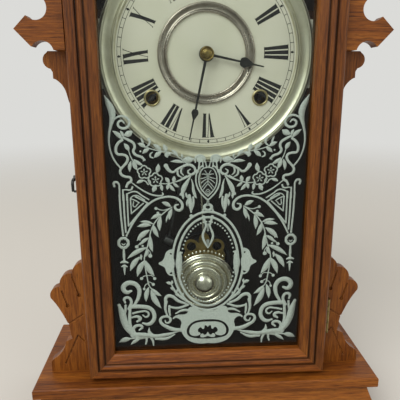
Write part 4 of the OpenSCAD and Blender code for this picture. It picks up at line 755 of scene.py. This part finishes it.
        [(-60.5, -200.2, 1.9), (-54.5, -198.9, 1.9), (-49.6, -198.9, 1.9), (-48, -201.8, 1.9),
         (-50.3, -203.9, 1.8), (-52.7, -202, 1.1)],
        [(-61.5, -203.9, 1.8), (-56.9, -203.3, 2.9), (-54.9, -205.3, 3.2), (-57.4, -207.6, 1.9)],
        [(-66.2, -193.2, 2.1), (-66.9, -199.4, 2.1), (-68.6, -203.7, 0.8)],
        [(-61.3, -219.6, 4.9), (-51.5, -220.2, 4.8), (-42.5, -221.5, 3.8), (-34.3, -220.5, 3.6),
         (-24.2, -217.9, 0.8)],
        [(-42.6, -223.8, 2.5), (-34.4, -224.1, 3), (-27.3, -220.4, 1.2)],
        [(-44.7, -221.2, 2.8), (-48, -217.6, 3.1), (-48, -213.9, 0.8)],
        [(-59.5, -219.3, 2.8), (-60.6, -213.8, 2.9), (-57.1, -211.2, 2.9), (-53.7, -212.7, 2.8),
         (-55.9, -215.4, 1.6)],
        [(-50.6, -221.8, 1.8), (-50.4, -225.3, 2.1), (-51.2, -228.3, 1.5)],
        [(-47.5, -221.9, 1.8), (-45.3, -225.7, 2.3), (-44.9, -229.8, 1.2)],
        [(-62.7, -195.1, 2.4), (-63.3, -202.1, 2.9), (-63.4, -210.8, 3.2), (-61.3, -217.9, 3.6)],
        [(-64, -223, 1.6), (-57.4, -222.5, 2.1), (-50, -222.2, 2)],
        [(-56.6, -223.8, 1.1), (-52.5, -222.7, 1.8), (-47.5, -222.2, 1.8)],
        # cartouche
        [(0, -106.7, 1.5), (-2.7, -104.2, 1.4), (-6.1, -100.2, 1.4), (-8.5, -95, 1.4), (-9.1, -89.8, 1.4),
         (-8.1, -84.9, 1.4), (-5.9, -81.5, 1.4), (-4.2, -80.2, 1.3)],
        [(0, -103.6, 1.1), (-3.1, -100.5, 1.1), (-6, -95.9, 1.1), (-6.8, -90.7, 1.1), (-5.9, -85.6, 1.1),
         (-3.5, -82.2, 1.1), (0, -81.3, 1.1)],
        # ribs of the cartouche
        [(-0.2, -91.7, 0.6), (-2.7, -94.5, 0.8), (-4.6, -96.9, 0.6)],
        [(-0.2, -94, 0.6), (-2.2, -96.6, 0.8), (-3.6, -98.6, 0.6)],
        [(-0.4, -89.9, 0.6), (-3.1, -91.6, 0.8), (-5.4, -93.7, 0.6)],
        [(-0.5, -88.5, 0.7), (-3.1, -89.5, 0.8), (-5.9, -90.1, 0.6)],
        [(-0.7, -87.4, 0.7), (-2.6, -86.5, 0.8), (-4.5, -86.5, 0.6)],
        [(-1, -86.5, 0.6), (-1.8, -84.4, 0.7), (-2.6, -83.5, 0.5)],
        [(0, -86.5, 1.7), (0, -89.9, 1.3), (0, -95.1, 0.4)],
        # lozenge
        [(0, -98, 0.5), (-1.6, -100.1, 0.7), (0, -102.3, 0.5)],
        # crown
        [(-6.5, -77.1, 1.4), (-6.6, -79.2, 1.3), (-6.8, -82, 1.7)],
        [(-3.7, -76.7, 1.1), (-3.9, -78.8, 1.1), (-3.7, -80.8, 1.4)],
        [(-1.8, -77.2, 0.9), (-1.5, -78.9, 0.9), (-1, -80.7, 1.3)],
        [(-9.4, -77.5, 1), (-9.6, -75, 1.7), (-8, -72.7, 1.8), (-5.9, -72.3, 1.8), (-3.4, -73, 1.8),
         (-2.4, -75.1, 1.7), (-2.5, -77.2, 0.9)],
        # finial
        [(0, -106.7, 1.7), (0, -108.6, 2.4), (0, -110, 2.6)],
        [(0, -110.1, 2.1), (-2.4, -111.1, 2.6), (-2.7, -113, 2.6), (-1, -114.6, 2.6), (0, -114.8, 2.6)],
        [(-3.6, -114.3, 1.7), (-4, -115.5, 1.7), (-5.7, -116.6, 0.9)],
        # bud
        [(-49.5, -90.5, 1), (-46.7, -91.5, 1.1), (-44.6, -93.8, 1.1), (-45, -90.3, 0.9)],
    ],
    "leaves": [
        (-62.8, -59.7, -69.7, -53.6, 3.6), (-61.9, -58.3, -64.1, -53.5, 2.5),
        (-61.3, -57, -55, -53.8, 5.1), (-58.3, -68.5, -61.7, -62.8, 3.7), (-57, -75.8, -58.3, -84.2, 3.1),
        (-55.7, -75.8, -52.7, -83, 3.2), (-55, -74.7, -48.4, -79.2, 3.1),
        (-47.6, -63.9, -49.6, -58.4, 1.8), (-45.8, -66, -51.8, -62.9, 3.4),
        (-43.4, -66.9, -48.4, -70.5, 3.4), (-34.8, -68.5, -40.6, -63.6, 3.6),
        (-34.4, -69.4, -39.9, -73.7, 3.8), (-30.8, -69.5, -33.1, -63.8, 3.8),
        (-30.8, -69.5, -30, -73.8, 3.7), (-26.7, -70.1, -31.7, -73, 2.7), (-22.3, -73.1, -27.4, -67.6, 3),
        (-17.8, -77.5, -28.1, -76.7, 2.9), (-18.6, -75.1, -10.3, -74.9, 5.7),
        (-19.2, -74.4, -19.7, -70.8, 1.9), (-38.6, -85.3, -36.9, -78.2, 3.9),
        (-48.3, -90.9, -53.7, -92.7, 3), (-38.7, -95.1, -41.7, -99.9, 4), (-34.9, -94, -34.4, -99.2, 2.9),
        (-29.2, -93.2, -32.2, -88.6, 3.4), (-26.3, -92.5, -25.4, -87.6, 3.4),
        (-29.3, -93.7, -30.8, -98.2, 3.1), (-29, -93.9, -24.9, -99.4, 2.9),
        (-26.3, -92.8, -21.7, -96.4, 2.6), (-52.9, -82.8, -55.6, -75.1, 1.9),
        (-28.4, -111.4, -35.3, -107.8, 3.7), (-27.5, -113, -29.7, -122, 3.7),
        (-29.4, -115.9, -32.3, -124.2, 1.7), (-35.3, -117.4, -43.8, -121, 3.5),
        (-36.1, -119.3, -37.3, -130.7, 4.1), (-42.2, -124.9, -52.3, -122.9, 2.8),
        (-43.9, -126, -54.6, -126.9, 3.7), (-42.2, -125.3, -38.2, -135.9, 4),
        (-45.1, -129.7, -55.2, -138.5, 4.6), (-44.7, -134.3, -43.1, -147.9, 4.2),
        (-45.8, -136.1, -53, -142, 3.1), (-47.3, -144, -63.2, -153.1, 4.2),
        (-49.4, -151.6, -46.9, -145.6, 3.4), (-52.2, -149.5, -52.1, -154.6, 2),
        (-53.7, -151.8, -61.3, -163.3, 4.7), (-49.7, -154.8, -55.9, -168.4, 5),
        (-49.1, -155, -42.3, -168.3, 5.2), (-47.2, -177.6, -49.7, -190.2, 4.3),
        (-45.6, -178.4, -37.2, -185.6, 3.8), (-45.5, -180.3, -37.6, -196.5, 5.3),
        (-28.7, -175.7, -33.5, -173.9, 3.2), (-28.6, -175.6, -28.8, -172.1, 2.1),
        (-26.3, -181.2, -30.4, -178.5, 2.7), (-25.3, -182.7, -23.5, -178.3, 2.3),
        (-22.2, -186.6, -26.7, -184.2, 2.7), (-21.7, -186.7, -19.4, -183, 2.3),
        (-63, -223, -73.1, -226.1, 4.9), (-55.4, -223.3, -63.7, -228.7, 3.3),
        (-21.6, -147.9, -21.8, -168.8, 6.1), (-18.4, -101.3, -18.8, -106, 2.1),
        (-16.7, -100.4, -15.4, -105.2, 1.9), (-19.7, -100.4, -21.4, -103, 1.7),
        (-15.4, -105.6, -15.9, -111.7, 1.9),
    ],
    "berries": [
        (-49.9, -68.8, 0.7), (-39.7, -112.6, 1.2), (-38.3, -116.2, 1.1), (-55.4, -143.3, 1.4),
        (-50.8, -142.7, 0.9), (-45.2, -151, 1.6), (-52.6, -170, 1.3), (-42.3, -170.3, 1.3),
        (-50.9, -179.1, 1.1), (-43.6, -175.3, 1.3), (-52.8, -137.6, 0.6), (-5.9, -75, 2.7),
        (-8.4, -84.4, 1.5), (0, -100.1, 0.6), (-12.9, -119, 1.3),
    ],
    "fills": [
        # lug beside the oval
        [(-38.8, -157.6), (-36.1, -155.6), (-34.3, -152.7), (-32.9, -148.7), (-30.2, -146.4),
         (-26.6, -146.6), (-27.7, -149.1), (-29.9, -149.2), (-27.6, -151.5), (-28, -164.5),
         (-30.5, -166.4), (-27, -167.5), (-29.9, -168.1), (-32.7, -165.4), (-34.2, -161.1),
         (-36.5, -159.5)],
        # shell frame
        [(-28.4, -206.4), (-25.9, -203.2), (-16.9, -201.5), (-15.5, -196.8), (-10.1, -196.1),
         (-6, -199.3), (0, -198.8), (0, -207.5), (-6.1, -207.8), (-11.4, -209.2), (-15.5, -212.6),
         (-17.4, -217.6), (-15.8, -222.1), (-10.8, -224.3), (0, -225.3), (0, -229.3), (-6.2, -229.6),
         (-14.2, -227.5), (-18.6, -223.8), (-21.4, -218.5), (-22.4, -213.9), (-21.6, -209.6),
         (-23.3, -206.6), (-26.4, -205.3)],
        # lip of the shell
        [(-15.2, -218.2), (-13.4, -213), (-8.6, -210.2), (0, -209.6), (0, -214.5), (-2, -212.9),
         (-3.6, -216.3), (-6.1, -214.6), (-8.1, -218.4), (-6.1, -220.2), (-8.6, -222.3), (-13.8, -221.5)],
        # wave in the shell
        [(-6.1, -223.3), (-4.5, -220.3), (-2.5, -221.7), (0, -218.8), (0, -222.6), (-2.8, -223.8)],
    ],
}


def addBlob(shape, x, z, radius, sides=10):
    place = Matrix.Translation((x * mm, 0, z * mm)) @ Matrix.Rotation(pi / 2, 4, "X")
    bmesh.ops.create_uvsphere(shape, u_segments=sides, v_segments=4, radius=radius * mm, matrix=place)


def newStrokeCurve():
    curve = bpy.data.curves.new("stencilStroke", "CURVE")
    curve.dimensions = "3D"
    curve.bevel_depth = mm
    curve.bevel_resolution = 1
    curve.resolution_u = 4
    curve.use_fill_caps = True
    return curve


def ovalPoints(middle, halfWidth, halfHeight, width, count):
    turns = [2 * pi * (i + 0.5) / count for i in range(count)]
    return [(halfWidth * sin(a), middle + halfHeight * cos(a), width) for a in turns]


def leafPoints(x0, z0, x1, z1, width):
    # the midrib bows a little to one side
    bowX, bowZ = (z1 - z0) * stencil["leafBow"], (x0 - x1) * stencil["leafBow"]
    return [(x0 + (x1 - x0) * t + bowX * sin(pi * t), z0 + (z1 - z0) * t + bowZ * sin(pi * t), width * swell)
            for t, swell in stencil["leafSwell"]]


strokeCurve = newStrokeCurve()
stencilShape = bmesh.new()
for stroke in stencil["strokes"]:
    bezierSpline(strokeCurve, stroke)
    for x, z, width in (stroke[0], stroke[-1]):
        if width > stencil["capFrom"]:
            addBlob(stencilShape, x, z, width / 2)
for leaf in stencil["leaves"]:
    bezierSpline(strokeCurve, leafPoints(*leaf))
middle, halfWidth, halfHeight, radius, count = stencil["beads"]
for x, z, width in ovalPoints(middle, halfWidth, halfHeight, 1, count)[count // 2:]:
    addBlob(stencilShape, x, z, radius, sides=8)
for x, z, radius in stencil["berries"]:
    addBlob(stencilShape, x, z, radius, sides=12)
petals = stencil["petals"]
for x, z, radius in stencil["flowers"]:
    rim = []
    for i in range(petals["knots"]):
        a = 2 * pi * i / petals["knots"]
        reach = radius * (1 - petals["notch"] + petals["notch"] * abs(cos(petals["count"] / 2 * a)))
        rim.append((x + reach * sin(a), z + reach * cos(a), petals["line"]))
    bezierSpline(strokeCurve, rim, True)
    for i in range(petals["count"]):
        a = 2 * pi * i / petals["count"]
        bezierSpline(strokeCurve, [(x + radius * r * sin(a), z + radius * r * cos(a), width)
                                   for r, width in petals["vein"]])
    addBlob(stencilShape, x, z, petals["eye"])
ring = stencil["pendantRing"]
ringTurns = [2 * pi * i / ring["knots"] for i in range(ring["knots"])]
bezierSpline(strokeCurve, [(ring["middle"][0] + ring["reach"][0] * sin(a),
                            ring["middle"][1] + ring["reach"][1] * cos(a), ring["widths"][i % 2])
                           for i, a in enumerate(ringTurns)], True)
addCurveMesh(stencilShape, strokeCurve)

fillCurve = bpy.data.curves.new("stencilFill", "CURVE")
fillCurve.dimensions = "2D"
fillCurve.fill_mode = "BOTH"
fillCurve.resolution_u = 4
fillCurve.extrude = stencil["fillThick"] / 2 * mm
for outline in stencil["fills"]:
    spline = fillCurve.splines.new("BEZIER")
    spline.bezier_points.add(len(outline) - 1)
    spline.use_cyclic_u = True
    for knot, (x, z) in zip(spline.bezier_points, outline):
        knot.co = (x * mm, z * mm, 0)
        knot.handle_left_type = knot.handle_right_type = "VECTOR" if x == 0 else "AUTO"
filled = addCurveMesh(stencilShape, fillCurve)
bmesh.ops.rotate(stencilShape, verts=filled, matrix=Matrix.Rotation(pi / 2, 3, "X"))

half = stencilShape.verts[:] + stencilShape.edges[:] + stencilShape.faces[:]
copied = bmesh.ops.duplicate(stencilShape, geom=half)["geom"]
otherHalf = [item for item in copied if isinstance(item, bmesh.types.BMVert)]
bmesh.ops.scale(stencilShape, vec=(-1, 1, 1), verts=otherHalf)

ringCurve = newStrokeCurve()
for middle, halfWidth, halfHeight, width in stencil["ovals"]:
    bezierSpline(ringCurve, ovalPoints(middle, halfWidth, halfHeight, width, stencil["ovalKnots"]), True)
addCurveMesh(stencilShape, ringCurve)

# flattened to a film, and laid on the back of the glass
bmesh.ops.scale(stencilShape, vec=(1, stencil["flat"], 1), verts=stencilShape.verts)
bmesh.ops.recalc_face_normals(stencilShape, faces=stencilShape.faces)
stencilY = doorFront + (stencil["glassBack"] + stencil["clear"]) * mm
bmesh.ops.translate(stencilShape, verts=stencilShape.verts, vec=(stencil["aside"] * mm, stencilY, dialZ))
meshPiece("glass_stencil", stencilShape, "silverStencil", "door")
print("glass stencilled")

# Camera: its place in millimetres from the dial's middle at the door's front, and its turns in degrees
view = {"lens": 40.36, "sensor": 36, "place": (-22.88, -318.87, -21.51),
        "tip": -14.4, "roll": 0.2, "turn": -3.05}
camera = bpy.data.cameras.new("camera")
camera.lens = view["lens"]
camera.sensor_width = view["sensor"]
camera.sensor_fit = "HORIZONTAL"
camera.clip_start = 0.01
cameraObject = bpy.data.objects.new("camera", camera)
cameraObject.location = Vector((0, doorFront, dialZ)) + Vector(view["place"]) * mm
cameraTurns = (90 + view["tip"], view["roll"], view["turn"])
cameraObject.rotation_euler = [radians(turn) for turn in cameraTurns]
bpy.context.scene.collection.objects.link(cameraObject)
bpy.context.scene.camera = cameraObject
bpy.context.scene.view_settings.view_transform = "Standard"

# Studio: sizes and places in metres, and the power of the lamps in watts
studio = {
    "backdrop": "#dfdfdc", "strength": 0.96, "floor": "#cfcac2", "fadeFrom": 0.5, "fadeTo": 2.2,
    "floorSpare": 0.1, "aim": (0, 0, 0.28),
    "flag": {"colour": "#b4b4b2", "size": (5, 3.2), "place": (0, -1.5, -0.6)},
    "lamps": {"key": {"place": (-0.9, -1.3, 1.6), "power": 30, "size": 1.2},
              "fill": {"place": (1.3, -1.1, 0.9), "power": 6, "size": 1.2}},
}

# the floor fades into the backdrop, and only its near part takes the shadow
floorTree = newMaterial("floorPaint")
floorPlace = addNode(floorTree, "ShaderNodeTexCoord").outputs["Object"]
away = addNode(floorTree, "ShaderNodeVectorMath", {0: floorPlace}, operation="LENGTH").outputs["Value"]
fade = addNode(floorTree, "ShaderNodeMapRange", {"Value": away, "From Min": studio["fadeFrom"],
                                                 "From Max": studio["fadeTo"]},
               interpolation_type="SMOOTHSTEP").outputs[0]
matt = addNode(floorTree, "ShaderNodeBsdfDiffuse", {"Color": fromHex(studio["floor"])}).outputs["BSDF"]
gone = addNode(floorTree, "ShaderNodeBsdfTransparent").outputs["BSDF"]
faded = addNode(floorTree, "ShaderNodeMixShader", {0: fade, 1: matt, 2: gone}).outputs[0]
addNode(floorTree, "ShaderNodeOutputMaterial", {"Surface": faded})
floorShape = bmesh.new()
bmesh.ops.create_circle(floorShape, cap_ends=True, segments=96,
                        radius=studio["fadeTo"] + studio["floorSpare"])
floor = linkMesh("floor", floorShape, "floorPaint")
floor.visible_glossy = False
floor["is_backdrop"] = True

# a grey flag before the clock, which shows only in reflections
flagTree = newMaterial("flagPaint")
cloth = addNode(flagTree, "ShaderNodeBsdfDiffuse", {"Color": fromHex(studio["flag"]["colour"])})
addNode(flagTree, "ShaderNodeOutputMaterial", {"Surface": cloth.outputs["BSDF"]})
wide, high = studio["flag"]["size"]
upright = Matrix.Translation(studio["flag"]["place"]) @ Matrix.Rotation(pi / 2, 4, "X")
flagShape = bmesh.new()
bmesh.ops.create_grid(flagShape, x_segments=1, y_segments=1, size=0.5,
                      matrix=upright @ Matrix.Diagonal((wide, high, 1, 1)))
flag = linkMesh("flag", flagShape, "flagPaint")
flag.visible_camera = flag.visible_diffuse = flag.visible_shadow = flag.visible_transmission = False
flag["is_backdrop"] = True

world = bpy.data.worlds.new("studio")
bpy.context.scene.world = world
world.use_nodes = True
backdrop = world.node_tree.nodes["Background"]
backdrop.inputs["Color"].default_value = fromHex(studio["backdrop"])
backdrop.inputs["Strength"].default_value = studio["strength"]
for name, s in studio["lamps"].items():
    light = bpy.data.lights.new(name, "AREA")
    light.energy = s["power"]
    light.size = s["size"]
    lamp = bpy.data.objects.new(name, light)
    lamp.location = s["place"]
    aim = Vector(studio["aim"]) - Vector(s["place"])
    lamp.rotation_euler = aim.to_track_quat("-Z", "Y").to_euler()
    bpy.context.scene.collection.objects.link(lamp)
print("camera and light placed")

low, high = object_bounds()
